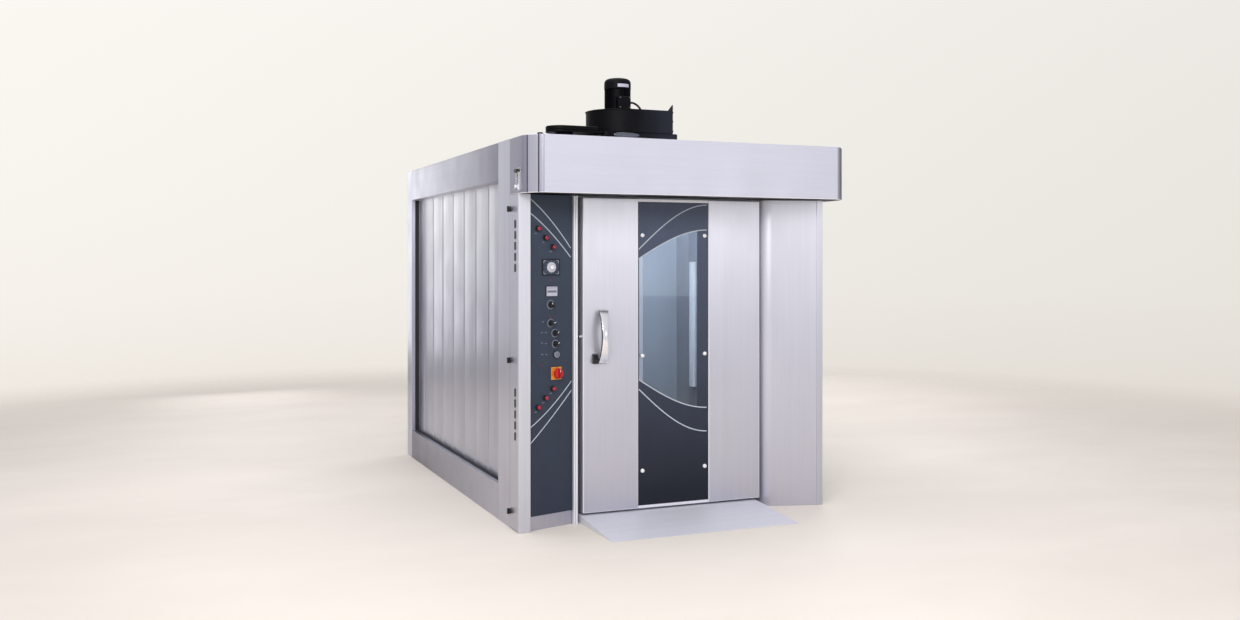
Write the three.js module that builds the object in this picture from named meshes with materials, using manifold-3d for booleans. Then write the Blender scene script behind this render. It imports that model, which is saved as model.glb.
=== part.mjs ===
// Rotating rack oven: a walk-in steel oven with a turntable, a glazed door, a hood and a roof blower.
// Millimetres, +Z up. Inside this file X runs right from the left side, Y runs back from the front
// posts and Z runs up from the floor. The exported group is shifted so that its origin lies on the
// floor, in the middle of the casing's footprint.
import * as THREE from 'three';
import { mergeVertices } from 'three/addons/utils/BufferGeometryUtils.js';
import Module from 'manifold-3d';

const wasm = await Module();
wasm.setup();

// ---------------------------------------------------------------- driving dimensions
// casing
const bodyWidth = 2060;
const bodyDepth = 2960;
const bodyHeight = 2300;
const sheetThickness = 2;
const fit = 0.3;               // gap between pieces that touch
const recessDepth = 60;        // side cladding behind the frame
const fasciaHeight = 235;
const railHeight = 215;
const rearReturn = 160;
const claddingPitch = 300;
const claddingRib = 16;
const frontCoverEnd = 412;
const serviceCoverEnd = 168;

// front
const postWidth = 73;
const postReturn = 20;
const rightPostWidth = 44;
const hoodHeight = 333;
const panelSetback = 22;       // control panel behind the post front, at the post
const panelEndX = 372;
const panelEndY = 110;
const panelThickness = 3;
const panelReturn = 14;
const kickHeight = 84;
const kickSetback = 10;
const jambWidth = 28;
const jambFrontY = 86;
const rightPanelTurn = 90;     // radius of the right panel's edge beside the door
const rightPanelGap = 16;      // between that edge and the door
const rightFoldX = 120;        // start of the splayed face, from the door's right edge
const rightFoldY = 74;
const rightStepY = 5;          // post front ahead of the splayed face
const rightFrontWidth = 404;   // casing to the right of the door

// door
const doorLeft = 440;
const doorFaceY = 110;
const doorThickness = 70;
const doorBottom = 56;
const doorTopGap = 7;
const cassetteWidth = 365;
const glassEdge = 4;
const glassRecess = 15;
const glassThickness = 6;
const glassBottomRail = 18;
const studInset = 27;
const studCapRadius = 13;
const studPinRadius = 5;
const studLowRise = 231;       // stud rows above the leaf's bottom edge
const studMiddleRise = 939;
const studHighDrop = 224;      // top row below the leaf's top edge
const windowMargin = 36;
const windowLowLeftRise = 794; // the window's corners, from the leaf's bottom and top edges
const windowLowRightRise = 600;
const windowHighLeftDrop = 370;
const windowHighRightDrop = 188;
const hingeInset = 16;
const hingeDepth = 20;
const hingePinRadius = 8;
const hingePinLength = 22;
const hingePinGap = 4;         // beyond the pin's end
const gasketWidth = 24;
const gasketInset = 26;
const gasketThickness = 11.4;

// handle
const handleBottom = 958;
const handleHeight = 326;
const handleBow = 44;
const handleStand = 16;
const pivotRise = 12;
const handleWidth = 34;
const handleThickness = 8;
const handleOffset = 112;      // from the leaf's left edge
const boltRadius = 9;
const boltLength = 60;
const boltHeight = 1121;
const boltThrow = 12;

// chamber
const portalThickness = 48;
const portalMargin = 60;       // leaf overlap on each side of the opening
const chamberSideRoom = 142;   // chamber beyond the door leaf on each side
const serviceRoomDepth = 417;  // behind the rear partition
const chamberFloorTop = 56;
const roofSpace = 300;         // from the chamber's top to the roof
const floorThickness = 9.4;
const wallThickness = 100;
const ceilingThickness = 80;
const ductThickness = 40;
const heatRoomDepth = 780;
const partitionThickness = 80;
const slotWidth = 26;
const slotMargin = 222;
const slotPitch = 118;
const slotCount = 7;

// turntable and its drive
const tableMargin = 140;       // between the table and the chamber's sides
const tableThickness = 5.6;
const tableGap = 6;
const railLength = 860;
const railSpacing = 560;
const railRise = 18;
const railWidth = 12;
const bearingRadius = 30;
const sprocketTeeth = 24;
const pinionTeeth = 8;
const toothPitch = 42;
const sprocketThickness = 9;
const pinionInset = 287;       // drive shaft ahead of the rear panel

// base
const panThickness = 6;
const beamWidth = 60;
const beamWall = 3;
const baseHeight = 46;

// hood
const hoodProjection = 178;
const hoodOverhang = 92;       // beyond the casing on the right
const hoodBack = 170;
const hoodSheet = 3;
const hoodBevelWidth = 84;
const hoodBevelDepth = 118;
const baffleRise = 6;

// roof blower
const blowerX = 745;
const blowerY = 300;
const blowerRise = 64;
const scrollHeight = 142;
const scrollStart = 165;
const scrollGrowth = 57;
const scrollSheet = 4;
const outletX = 274;           // outlet face from the wheel's axis
const outletLip = 24;
const flangeSheet = 5;
const wheelRadius = 132;
const wheelHeight = 92;
const wheelBlades = 14;
const wheelBlade = 3;
const wheelPlate = 4;
const wheelLift = 12;
const wheelHub = 26;
const wheelHubDepth = 40;
const shaftInMotor = 30;
const inletRadius = 118;
const motorRadius = 84;
const motorHeight = 214;
const motorShaftRadius = 12;

// ---------------------------------------------------------------- derived places
const hoodUnderside = bodyHeight - hoodHeight;
const doorWidth = bodyWidth - doorLeft - rightFrontWidth;
const doorTop = hoodUnderside - doorTopGap;
const portalTop = doorTop - portalMargin;
const chamberTop = bodyHeight - roofSpace;
const chamberWidth = doorWidth + 2 * chamberSideRoom;
const panelAngle = Math.atan2(panelEndY - panelSetback, panelEndX - postWidth);
const doorRight = doorLeft + doorWidth;
const doorBackY = doorFaceY + doorThickness;
const portalY = doorBackY + gasketThickness + 2 * fit;
const chamberCentreX = doorLeft + doorWidth / 2;
const chamberLeft = chamberCentreX - chamberWidth / 2;
const chamberRight = chamberCentreX + chamberWidth / 2;
const wallLeft = chamberLeft - wallThickness;
const wallRight = chamberRight + wallThickness;
const chamberFront = portalY + portalThickness + fit;
const rearInside = bodyDepth - sheetThickness - fit;
const partitionY = rearInside - serviceRoomDepth - partitionThickness;
const chamberBack = partitionY - heatRoomDepth - ductThickness;
const chamberDepth = chamberBack - chamberFront;
const wallBack = partitionY - fit;
const wallBottom = chamberFloorTop + fit;
const wallTop = chamberTop - fit;
const ceilingTop = chamberTop + ceilingThickness;
const hingeX = doorRight - hingeInset;
const hingeY = doorFaceY + hingeDepth;
const tableX = chamberCentreX;
const tableY = chamberFront + chamberDepth / 2;
const tableRadius = Math.min(chamberWidth, chamberDepth) / 2 - tableMargin;
const pinionY = rearInside - pinionInset;
const driveDistance = pinionY - tableY;
const panelStartX = postWidth + fit;
const hoodRight = bodyWidth + hoodOverhang;
const roofBottom = bodyHeight - sheetThickness;

// ---------------------------------------------------------------- shape helpers
// A closed outline in the plan (X, Y), raised from z0 to z1.
function upright(outline, z0, z1, holes = []) {
  const shape = new THREE.Shape(outline.map(([x, y]) => new THREE.Vector2(x, y)));
  for (const hole of holes) {
    shape.holes.push(new THREE.Path(hole.map(([x, y]) => new THREE.Vector2(x, y))));
  }
  const geometry = new THREE.ExtrudeGeometry(shape, { depth: z1 - z0, bevelEnabled: false });
  return geometry.translate(0, 0, z0);
}

// A closed outline in (Y, Z), carried from x0 to x1.
function alongX(outline, x0, x1, holes = []) {
  const turn = new THREE.Matrix4().set(0, 0, 1, 0, 1, 0, 0, 0, 0, 1, 0, 0, 0, 0, 0, 1);
  return upright(outline, 0, x1 - x0, holes).applyMatrix4(turn).translate(x0, 0, 0);
}

// A closed outline in (X, Z), carried from y0 to y1.
function alongY(outline, y0, y1, holes = []) {
  return upright(outline, 0, y1 - y0, holes).rotateX(Math.PI / 2).translate(0, y1, 0);
}

function block(x0, x1, y0, y1, z0, z1) {
  const geometry = new THREE.BoxGeometry(x1 - x0, y1 - y0, z1 - z0);
  return geometry.translate((x0 + x1) / 2, (y0 + y1) / 2, (z0 + z1) / 2);
}

// A profile of (radius, height) points turned about the Z axis; it starts and ends on the axis.
function turned(profile, segments = 24) {
  const points = profile.map(([radius, height]) => new THREE.Vector2(radius, height));
  return new THREE.LatheGeometry(points, segments).rotateX(Math.PI / 2);
}

function disc(radius, z0, z1, segments = 24) {
  return turned([[0, z0], [radius, z0], [radius, z1], [0, z1]], segments);
}

function circle(x, y, radius, steps = 24, from = 0, sweep = 2 * Math.PI) {
  const closed = Math.abs(sweep) >= 2 * Math.PI;
  const count = closed ? steps : steps + 1;
  return Array.from({ length: count }, (_, i) => {
    const angle = from + (sweep * i) / steps;
    return [x + radius * Math.cos(angle), y + radius * Math.sin(angle)];
  });
}

// Radius of a faceted bore whose flats clear a round stem by the fit.
function boreRadius(radius, steps) {
  return (radius + fit) / Math.cos(Math.PI / steps);
}

function rectangle(x0, x1, y0, y1) {
  return [[x0, y0], [x1, y0], [x1, y1], [x0, y1]];
}

// The outline of sheet metal of one thickness that is folded along a path, on the path's left side.
function folded(path, thickness = sheetThickness) {
  const along = (a, b) => {
    const length = Math.hypot(b[0] - a[0], b[1] - a[1]);
    return [(b[0] - a[0]) / length, (b[1] - a[1]) / length];
  };
  const inner = path.map((point, i) => {
    const before = i > 0 ? along(path[i - 1], point) : along(point, path[i + 1]);
    const after = i < path.length - 1 ? along(point, path[i + 1]) : before;
    const share = thickness / (1 + before[0] * after[0] + before[1] * after[1]);
    return [point[0] - (before[1] + after[1]) * share, point[1] + (before[0] + after[0]) * share];
  });
  return [...path, ...inner.reverse()];
}

function toSolid(geometry) {
  const plain = geometry.clone();
  plain.deleteAttribute('normal');
  plain.deleteAttribute('uv');
  const merged = mergeVertices(plain, 1e-3);
  return new wasm.Manifold(new wasm.Mesh({
    numProp: 3,
    vertProperties: Float32Array.from(merged.attributes.position.array),
    triVerts: Uint32Array.from(merged.index.array),
  }));
}

function toGeometry(solid) {
  const mesh = solid.getMesh();
  const geometry = new THREE.BufferGeometry();
  geometry.setAttribute('position', new THREE.BufferAttribute(mesh.vertProperties, 3));
  geometry.setIndex(new THREE.BufferAttribute(mesh.triVerts, 1));
  geometry.computeVertexNormals();
  return geometry;
}

function cut(body, ...tools) {
  return toGeometry(tools.reduce((solid, tool) => solid.subtract(toSolid(tool)), toSolid(body)));
}

function join(body, ...others) {
  return toGeometry(others.reduce((solid, other) => solid.add(toSolid(other)), toSolid(body)));
}

// The same shape on the other side of the plane x = middle.
function mirrored(geometry, middle) {
  const copy = geometry.index ? geometry.toNonIndexed() : geometry.clone();
  copy.applyMatrix4(new THREE.Matrix4().makeScale(-1, 1, 1)).translate(2 * middle, 0, 0);
  const position = copy.attributes.position;
  for (let i = 0; i < position.count; i += 3) {
    const second = new THREE.Vector3().fromBufferAttribute(position, i + 1);
    const third = new THREE.Vector3().fromBufferAttribute(position, i + 2);
    position.setXYZ(i + 1, third.x, third.y, third.z);
    position.setXYZ(i + 2, second.x, second.y, second.z);
  }
  copy.computeVertexNormals();
  return copy;
}

// ---------------------------------------------------------------- materials
function finish(color, roughness, metalness) {
  return new THREE.MeshStandardMaterial({ color, roughness, metalness });
}

const steel = finish('#c9c8d3', 0.34, 0.9);
const steelShade = finish('#a9a8b4', 0.4, 0.9);
const hoodSteel = finish('#d3d2df', 0.3, 0.9);
const panelPaint = finish('#3a4252', 0.35, 0.1);
const glassTint = finish('#3b4458', 0.08, 0.0);
const clearGlass = finish('#8fa4ad', 0.05, 0.0);
const blackPaint = finish('#141418', 0.5, 0.2);
const blackPlastic = finish('#1b1b1f', 0.55, 0.0);
const chrome = finish('#d8d8de', 0.12, 1.0);
const darkSteel = finish('#55545c', 0.5, 0.8);
const castIron = finish('#3c3d42', 0.7, 0.6);
const insulated = finish('#b7b6bd', 0.45, 0.8);
const silicone = finish('#2a2a2d', 0.8, 0.0);
const redPlastic = finish('#c8352c', 0.35, 0.0);
const whitePlastic = finish('#dcdcdc', 0.4, 0.0);
const lampGlass = finish('#cfe0e4', 0.2, 0.0);

// ---------------------------------------------------------------- assembly
const oven = new THREE.Group();
oven.position.set(-bodyWidth / 2, -bodyDepth / 2, 0);

function place(parent, name, geometry, material, position = [0, 0, 0]) {
  const mesh = new THREE.Mesh(geometry, material);
  mesh.name = name;
  mesh.position.set(...position);
  parent.add(mesh);
  return mesh;
}

function group(x, y, z, turn = 0) {
  const holder = new THREE.Group();
  holder.position.set(x, y, z);
  holder.rotation.z = turn;
  oven.add(holder);
  return holder;
}

// ---------------------------------------------------------------- base
const baseLeft = sheetThickness + fit;
const baseRight = bodyWidth - baseLeft;

function basePan() {
  const starts = [baseLeft, baseRight - beamWidth, wallLeft, wallRight - beamWidth];
  const beams = starts.map((x) => block(x, x + beamWidth, portalY, rearInside, 0, baseHeight));
  const crossBeams = [portalY, rearInside - beamWidth].map((y) => (
    block(baseLeft, baseRight, y, y + beamWidth, 0, baseHeight)
  ));
  const top = baseHeight - beamWall;
  const tunnels = starts.map((x) => (
    block(x + beamWall, x + beamWidth - beamWall, portalY - 1, rearInside + 1, panThickness, top)
  ));
  const pan = block(baseLeft, baseRight, portalY, rearInside, 0, panThickness);
  return cut(join(pan, ...beams, ...crossBeams), ...tunnels);
}

// ---------------------------------------------------------------- chamber
const floorBottom = chamberFloorTop - floorThickness;
const tableOpening = circle(tableX, tableY, tableRadius + tableGap, 48);
const floorOutline = rectangle(wallLeft, wallRight, portalY + fit, partitionY + partitionThickness);
place(oven, 'chamber_floor', upright(floorOutline, floorBottom, chamberFloorTop, [tableOpening]), steelShade);

// An insulated wall: a box of sheet metal with a small vent in its outer skin.
const ventSize = 24;
function sheetBox(x0, x1, y0, y1, z0, z1, vent) {
  const t = sheetThickness;
  const room = block(x0 + t, x1 - t, y0 + t, y1 - t, z0 + t, z1 - t);
  const [x, y, z] = vent;
  const half = ventSize / 2;
  const hole = block(x - half, x + half, y - half, y + half, z - half, z + half);
  return cut(block(x0, x1, y0, y1, z0, z1), room, hole);
}
const ventDrop = 60;
const leftWall = sheetBox(wallLeft, chamberLeft, chamberFront, wallBack, wallBottom, wallTop,
  [wallLeft, tableY, wallTop - ventDrop]);
const rightWall = sheetBox(chamberRight, wallRight, chamberFront, wallBack, wallBottom, wallTop,
  [wallRight, tableY, wallTop - ventDrop]);
place(oven, 'chamber_left_wall', leftWall, insulated);
place(oven, 'chamber_right_wall', rightWall, insulated);

// Front surround of the door opening, open at the bottom; its outline is drawn in by the inset.
const openingLeft = doorLeft + portalMargin;
const openingRight = doorRight - portalMargin;
function portalOutline(inset = 0) {
  const left = openingLeft - inset;
  const right = openingRight + inset;
  const low = wallBottom + inset;
  const high = wallTop - inset;
  return [
    [wallLeft + inset, low], [left, low], [left, portalTop + inset], [right, portalTop + inset],
    [right, low], [wallRight - inset, low], [wallRight - inset, high], [wallLeft + inset, high],
  ];
}

// Louvred rear wall of the chamber: tall air slots side by side.
function ductPanel() {
  const left = chamberLeft + fit;
  const right = chamberRight - fit;
  const middle = (left + right) / 2;
  const slots = Array.from({ length: slotCount }, (_, i) => {
    const x = middle + (i - (slotCount - 1) / 2) * slotPitch;
    return block(x - slotWidth / 2, x + slotWidth / 2, chamberBack - 1, chamberBack + sheetThickness + 1,
      wallBottom + slotMargin, wallTop - slotMargin);
  });
  const back = chamberBack + ductThickness;
  const path = [[left, back], [left, chamberBack], [right, chamberBack], [right, back]];
  return cut(upright(folded(path), wallBottom, wallTop), ...slots);
}
place(oven, 'air_duct_panel', ductPanel(), steelShade);

const fanRadius = 260;
const fanWidth = 130;
const fanHub = 46;
const fanBlades = 9;
const fanShaftRadius = 18;
const fanX = chamberCentreX;
const fanDrop = 360;
const fanWallGap = 40;
const fanZ = chamberTop - fanDrop;
const fanY = partitionY - fanWidth - fanWallGap;
const shaftGap = 4;
const ceiling = sheetBox(wallLeft, wallRight, portalY, partitionY + partitionThickness, chamberTop,
  ceilingTop, [tableX, tableY, ceilingTop]);
place(oven, 'chamber_ceiling', ceiling, insulated);
const shaftHole = alongY(circle(fanX, fanZ, fanShaftRadius + shaftGap, 20), partitionY - 1,
  partitionY + partitionThickness + 1);
const partition = sheetBox(wallLeft, wallRight, partitionY, partitionY + partitionThickness, wallBottom,
  wallTop, [chamberLeft, partitionY + partitionThickness, wallTop - ventDrop]);
place(oven, 'rear_partition', cut(partition, shaftHole), insulated);

// Interior lamp: a long strip on the right-hand wall, in front of the duct panel.
const lampBottom = 640;
const lampLength = 930;
const lampDepth = 22;
const lampWidth = 96;
const lampInset = 340;
function lampStrip() {
  const y0 = chamberBack - lampInset;
  const x1 = chamberRight - fit;
  const outline = [
    [x1, y0], [x1, y0 + lampWidth], [x1 - lampDepth * 0.6, y0 + lampWidth],
    [x1 - lampDepth, y0 + lampWidth * 0.75], [x1 - lampDepth, y0 + lampWidth * 0.25],
    [x1 - lampDepth * 0.6, y0],
  ];
  return upright(outline, lampBottom, lampBottom + lampLength);
}
place(oven, 'chamber_lamp', lampStrip(), lampGlass);

// ---------------------------------------------------------------- turntable and drive
const postDrop = 4;
const postTop = baseHeight - postDrop;
const bearingFlange = 90;
const flangeThickness = 4;
const bearingFoot = panThickness + fit;
function bearingPost() {
  return turned([
    [0, panThickness / 2], [bearingFlange, panThickness / 2], [bearingFlange, bearingFoot + flangeThickness],
    [bearingRadius, bearingFoot + flangeThickness], [bearingRadius, postTop], [0, postTop],
  ], 24);
}
place(oven, 'base_pan', join(basePan(), bearingPost().translate(tableX, tableY, 0)), darkSteel);

// A toothed wheel's outline: trapezoid teeth round a pitch circle.
const toothRoot = 5;
const toothTip = 3;
function sprocketOutline(teeth, pitchRadius) {
  const steps = [[-0.25, -toothRoot], [-0.12, toothTip], [0.12, toothTip], [0.25, -toothRoot]];
  const points = [];
  for (let i = 0; i < teeth; i += 1) {
    for (const [phase, rise] of steps) {
      const angle = ((i + phase) * 2 * Math.PI) / teeth;
      points.push([(pitchRadius + rise) * Math.cos(angle), (pitchRadius + rise) * Math.sin(angle)]);
    }
  }
  return points;
}

const sprocketRadius = (sprocketTeeth * toothPitch) / (2 * Math.PI);
const pinionRadius = (pinionTeeth * toothPitch) / (2 * Math.PI);
const chainRise = 20;
const hubRadius = 62;

function turntable() {
  const bottom = chamberFloorTop - tableThickness;
  const bore = circle(0, 0, bearingRadius + fit, 24);
  const plate = disc(tableRadius, bottom, chamberFloorTop, 48);
  const hub = upright(circle(0, 0, hubRadius, 24), bearingFoot + flangeThickness + fit, bottom + 1, [bore]);
  const teeth = sprocketOutline(sprocketTeeth, sprocketRadius);
  const wheel = upright(teeth, chainRise, chainRise + sprocketThickness, [circle(0, 0, hubRadius - 2, 24)]);
  const half = railLength / 2;
  const low = chamberFloorTop - 1;
  const high = chamberFloorTop + railRise;
  const rails = [-1, 1].map((side) => {
    const x = (side * railSpacing) / 2;
    return block(x - railWidth / 2, x + railWidth / 2, -half, half, low, high);
  });
  const stop = block(-railSpacing / 2, railSpacing / 2, half - railWidth, half, low, high);
  return join(plate, hub, wheel, ...rails, stop);
}
place(oven, 'turntable', turntable(), steelShade, [tableX, tableY, 0]);

const pinionShaft = 14;
const gearboxRise = 60;
const gearboxBottom = baseHeight + gearboxRise;
const gearboxSize = 190;
const gearboxHeight = 114;
const gearboxLeg = 14;
const driveMotorLength = 230;
const driveMotorRadius = 76;
function driveSprocket() {
  const teeth = sprocketOutline(pinionTeeth, pinionRadius);
  const wheel = upright(teeth, chainRise, chainRise + sprocketThickness);
  const shaft = disc(pinionShaft, panThickness + fit, gearboxBottom - fit, 24);
  return join(wheel, shaft);
}
place(oven, 'drive_sprocket', driveSprocket(), darkSteel, [tableX, pinionY, 0]);

// Open outline of a loop that wraps two wheels, grown by an offset.
function loopOutline(offset) {
  const big = sprocketRadius + offset;
  const small = pinionRadius + offset;
  const lean = Math.asin((big - small) / driveDistance);
  const bigArc = circle(tableX, tableY, big, 28, Math.PI - lean, Math.PI + 2 * lean);
  const smallArc = circle(tableX, pinionY, small, 14, lean, Math.PI - 2 * lean);
  return [...bigArc, ...smallArc];
}
const chainGap = 0.6;          // between the chain and the tips of the teeth
const chainThickness = 9;
function driveChain() {
  const inner = loopOutline(toothTip + chainGap);
  const outer = loopOutline(toothTip + chainGap + chainThickness);
  return upright(outer, chainRise + fit, chainRise + sprocketThickness - fit, [inner]);
}
place(oven, 'drive_chain', driveChain(), castIron);

// Gearmotor on four legs over the small sprocket.
function gearmotor() {
  const half = gearboxSize / 2;
  const top = gearboxBottom + gearboxHeight;
  const box = block(-half, half, -half, half, gearboxBottom, top);
  const starts = [-half, half - gearboxLeg];
  const legs = starts.flatMap((x) => starts.map((y) => (
    block(x, x + gearboxLeg, y, y + gearboxLeg, panThickness + fit, gearboxBottom + 1)
  )));
  const barrel = disc(driveMotorRadius, top - 1, top + driveMotorLength, 24);
  return join(box, barrel, ...legs);
}
place(oven, 'drive_gearmotor', gearmotor(), blackPaint, [tableX, pinionY, 0]);

// ---------------------------------------------------------------- heating and air
// Backward-curved wheel with a back plate, a front ring and a shaft, turning about Y.
const fanPlate = 6;
const bladeThickness = 5;
const bladeStart = 106;
const bladeEndInset = 6;
const bladeSweep = 0.9;        // radians, backward
const fanHubLength = 60;
const fanEye = 161;            // radius of the opening in the front ring
const shaftReach = 100;        // shaft behind the partition
function circulationWheel() {
  const steps = 3;
  const blade = Array.from({ length: steps + 1 }, (_, i) => {
    const share = i / steps;
    const radius = bladeStart + share * (fanRadius - bladeEndInset - bladeStart);
    const angle = -bladeSweep * share;
    return [radius * Math.cos(angle), radius * Math.sin(angle)];
  });
  const bladeShape = upright(folded(blade, bladeThickness), -1, fanWidth - fanPlate + 1);
  const blades = Array.from({ length: fanBlades }, (_, i) => (
    bladeShape.clone().rotateZ((i * 2 * Math.PI) / fanBlades)
  ));
  const back = disc(fanRadius, -fanPlate, 0, 28);
  const eye = circle(0, 0, fanEye, 20);
  const ring = upright(circle(0, 0, fanRadius, 28), fanWidth - fanPlate, fanWidth, [eye]);
  const hub = disc(fanHub, -1, fanHubLength, 14);
  const shaft = disc(fanShaftRadius, -(fanWallGap + partitionThickness + shaftReach), 1, 16);
  return join(back, ring, hub, shaft, ...blades).rotateX(Math.PI / 2);
}
place(oven, 'circulation_fan', circulationWheel(), darkSteel, [fanX, fanY + fanWidth, fanZ]);

const circMotorRadius = 110;
const circMotorLength = 250;
const circFlangeWidth = 30;
const circFlangeThickness = 14;
function circulationMotor() {
  const front = partitionY + partitionThickness + fit;
  const flange = alongY(circle(fanX, fanZ, circMotorRadius + circFlangeWidth, 32), front,
    front + circFlangeThickness);
  const barrel = alongY(circle(fanX, fanZ, circMotorRadius, 32), front + circFlangeThickness - 1,
    front + circMotorLength);
  const bore = alongY(circle(fanX, fanZ, fanShaftRadius + fit, 24), front - 1, front + shaftReach);
  return cut(join(flange, barrel), bore);
}
place(oven, 'circulation_motor', circulationMotor(), blackPaint);

// Heat exchanger: a burner drum at the bottom, upright gas tubes and a collecting header above.
const tubeRadius = 44;
const tubeColumns = 7;
const tubePitch = 150;
const drumRadius = 190;
const drumLift = 60;
const headerHeight = 90;
const headerHalfDepth = 140;
const exchangerOverhang = 80;  // drum and header beyond the outer tubes
const exchangerWall = 5;
const exchangerGap = 90;       // below the fan
const burnerRadius = 75;
const footWidth = 60;
const footDepth = 240;
function heatExchanger() {
  const exchangerTop = fanZ - fanRadius - exchangerGap;
  const middleY = chamberBack + ductThickness + heatRoomDepth / 2;
  const drumZ = wallBottom + drumLift + drumRadius;
  const halfWidth = ((tubeColumns - 1) * tubePitch) / 2 + exchangerOverhang;
  const left = chamberCentreX - halfWidth;
  const right = chamberCentreX + halfWidth;
  const drum = alongX(circle(middleY, drumZ, drumRadius, 20), left, right);
  const drumRoom = alongX(circle(middleY, drumZ, drumRadius - exchangerWall, 20), left + exchangerWall,
    right - exchangerWall);
  const burnerMouth = alongX(circle(middleY, drumZ, burnerRadius, 12), right - exchangerWall - 1, right + 1);
  const feet = [left + footWidth, right - 2 * footWidth].map((x) => (
    block(x, x + footWidth, middleY - footDepth / 2, middleY + footDepth / 2, wallBottom,
      drumZ - drumRadius * 0.8)
  ));
  const header = block(left, right, middleY - headerHalfDepth, middleY + headerHalfDepth,
    exchangerTop - headerHeight, exchangerTop);
  const roomHalfDepth = headerHalfDepth - exchangerWall;
  const headerRoom = block(left + exchangerWall, right - exchangerWall, middleY - roomHalfDepth,
    middleY + roomHalfDepth, exchangerTop - headerHeight + exchangerWall, exchangerTop - exchangerWall);
  const flue = disc(burnerRadius, exchangerTop - exchangerWall - 1, exchangerTop + 1, 12)
    .translate(right - headerHalfDepth, middleY, 0);
  const tubes = Array.from({ length: tubeColumns }, (_, i) => {
    const x = chamberCentreX + (i - (tubeColumns - 1) / 2) * tubePitch;
    return disc(tubeRadius, drumZ + drumRadius / 2, exchangerTop - headerHeight + 1, 8)
      .translate(x, middleY, 0);
  });
  return join(cut(drum, drumRoom, burnerMouth), cut(header, headerRoom, flue), ...feet, ...tubes);
}
place(oven, 'heat_exchanger', heatExchanger(), castIron);

// Steam cascade: sloping troughs one above the other, on the left wall of the heating room.
const cascadeLength = 300;
const cascadeInset = 120;      // behind the duct panel
const cascadeBottom = 500;
const cascadeWidth = 90;
const troughCount = 8;
const troughPitch = 120;
const troughSlope = 20;
const troughLip = 60;
const troughThickness = 4;
function steamCascade() {
  const y0 = chamberBack + ductThickness + cascadeInset;
  const y1 = y0 + cascadeLength;
  const x0 = chamberLeft + fit;
  const x1 = x0 + cascadeWidth;
  const cascadeTop = cascadeBottom + troughCount * troughPitch;
  const back = block(x0, x0 + exchangerWall, y0, y1, cascadeBottom, cascadeTop);
  const troughs = Array.from({ length: troughCount }, (_, i) => {
    const z = cascadeBottom + troughPitch * (i + 0.3);
    const outline = folded([[x0 + 1, z], [x1, z + troughSlope], [x1, z + troughLip]], troughThickness);
    return alongY(outline, y0, y1);
  });
  return join(back, ...troughs);
}
place(oven, 'steam_cascade', steamCascade(), castIron);

// ---------------------------------------------------------------- front of the casing
// Corner post: a folded channel, open to the inside.
function frontPost() {
  const path = [
    [postWidth, postReturn], [postWidth, 0], [0, 0], [0, postReturn],
  ];
  return upright(folded(path.reverse()), 0, hoodUnderside - fit);
}
place(oven, 'front_left_post', frontPost(), steel);

// The control panel stands on its own splayed line; x runs along it and -y faces the user.
const panelGroup = group(panelStartX, panelSetback, 0, panelAngle);
const panelLength = (panelEndX - panelStartX) / Math.cos(panelAngle);
const along = (x) => (x - panelStartX) / Math.cos(panelAngle);

// centres across the panel, from the casing's left side, and heights below the hood
const below = (drop) => hoodUnderside - drop;
const lamps = [
  [126, below(200)], [178, below(253)], [230, below(307)],
  [230, below(1144)], [178, below(1195)], [126, below(1246)],
];
const timerX = 218;
const timerZ = below(427);
const timerWidth = 128;
const timerHeight = 98;
const displayX = 224;
const displayZ = below(569);
const displayWidth = 77;
const displayHeight = 56;
const plateX = 256;
const plateZ = below(1055);
const plateSize = 74;
const thermostatX = 218;
const thermostatZ = below(647);
const selectors = [[218, below(756)], [247, below(817)], [250, below(881)]];
const buttonX = 256;
const buttonZ = below(944);
const knobRadius = 19;
const selectorRadius = 16;
const knobRise = 22;
const stemRadius = 4;
const stemDepth = 9;
const bezelRise = 7;
const lampBezel = 14;
const lampLens = 9;
const lensRise = 6;
const boxRise = 6;
const timerDial = 31;
const timerRise = 20;
const switchRadius = 27;
const switchRise = 30;
const buttonRadius = 13;

// A round shape of a (radius, rise) profile whose axis leaves the panel toward the user.
function facing(profile, segments = 20) {
  return turned(profile, segments).rotateX(Math.PI / 2);
}

const stemHoles = [
  [thermostatX, thermostatZ], ...selectors, [buttonX, buttonZ], [plateX, plateZ], [timerX, timerZ],
];

function controlPanel() {
  const path = [[0, panelReturn], [0, 0], [panelLength, 0], [panelLength, panelReturn]];
  const sheet = upright(folded(path, panelThickness), kickHeight + fit, hoodUnderside - fit);
  const bezels = lamps.map(([x, z]) => (
    facing([[0, -1], [lampBezel, -1], [lampBezel, bezelRise], [lampLens, bezelRise + lensRise],
      [0, bezelRise + lensRise + 1]], 12).translate(along(x), 0, z)
  ));
  const boxes = [
    [timerX, timerZ, timerWidth, timerHeight], [displayX, displayZ, displayWidth, displayHeight],
    [plateX, plateZ, plateSize, plateSize],
  ].map(([x, z, wide, high]) => (
    block(along(x) - wide / 2, along(x) + wide / 2, -boxRise, 1, z - high / 2, z + high / 2)
  ));
  const bore = boreRadius(stemRadius, 8);
  const holes = stemHoles.map(([x, z]) => (
    facing([[0, -20], [bore, -20], [bore, 20], [0, 20]], 8).translate(along(x), 0, z)
  ));
  return cut(join(sheet, ...bezels, ...boxes), ...holes);
}
place(panelGroup, 'control_panel', controlPanel(), panelPaint);

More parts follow.
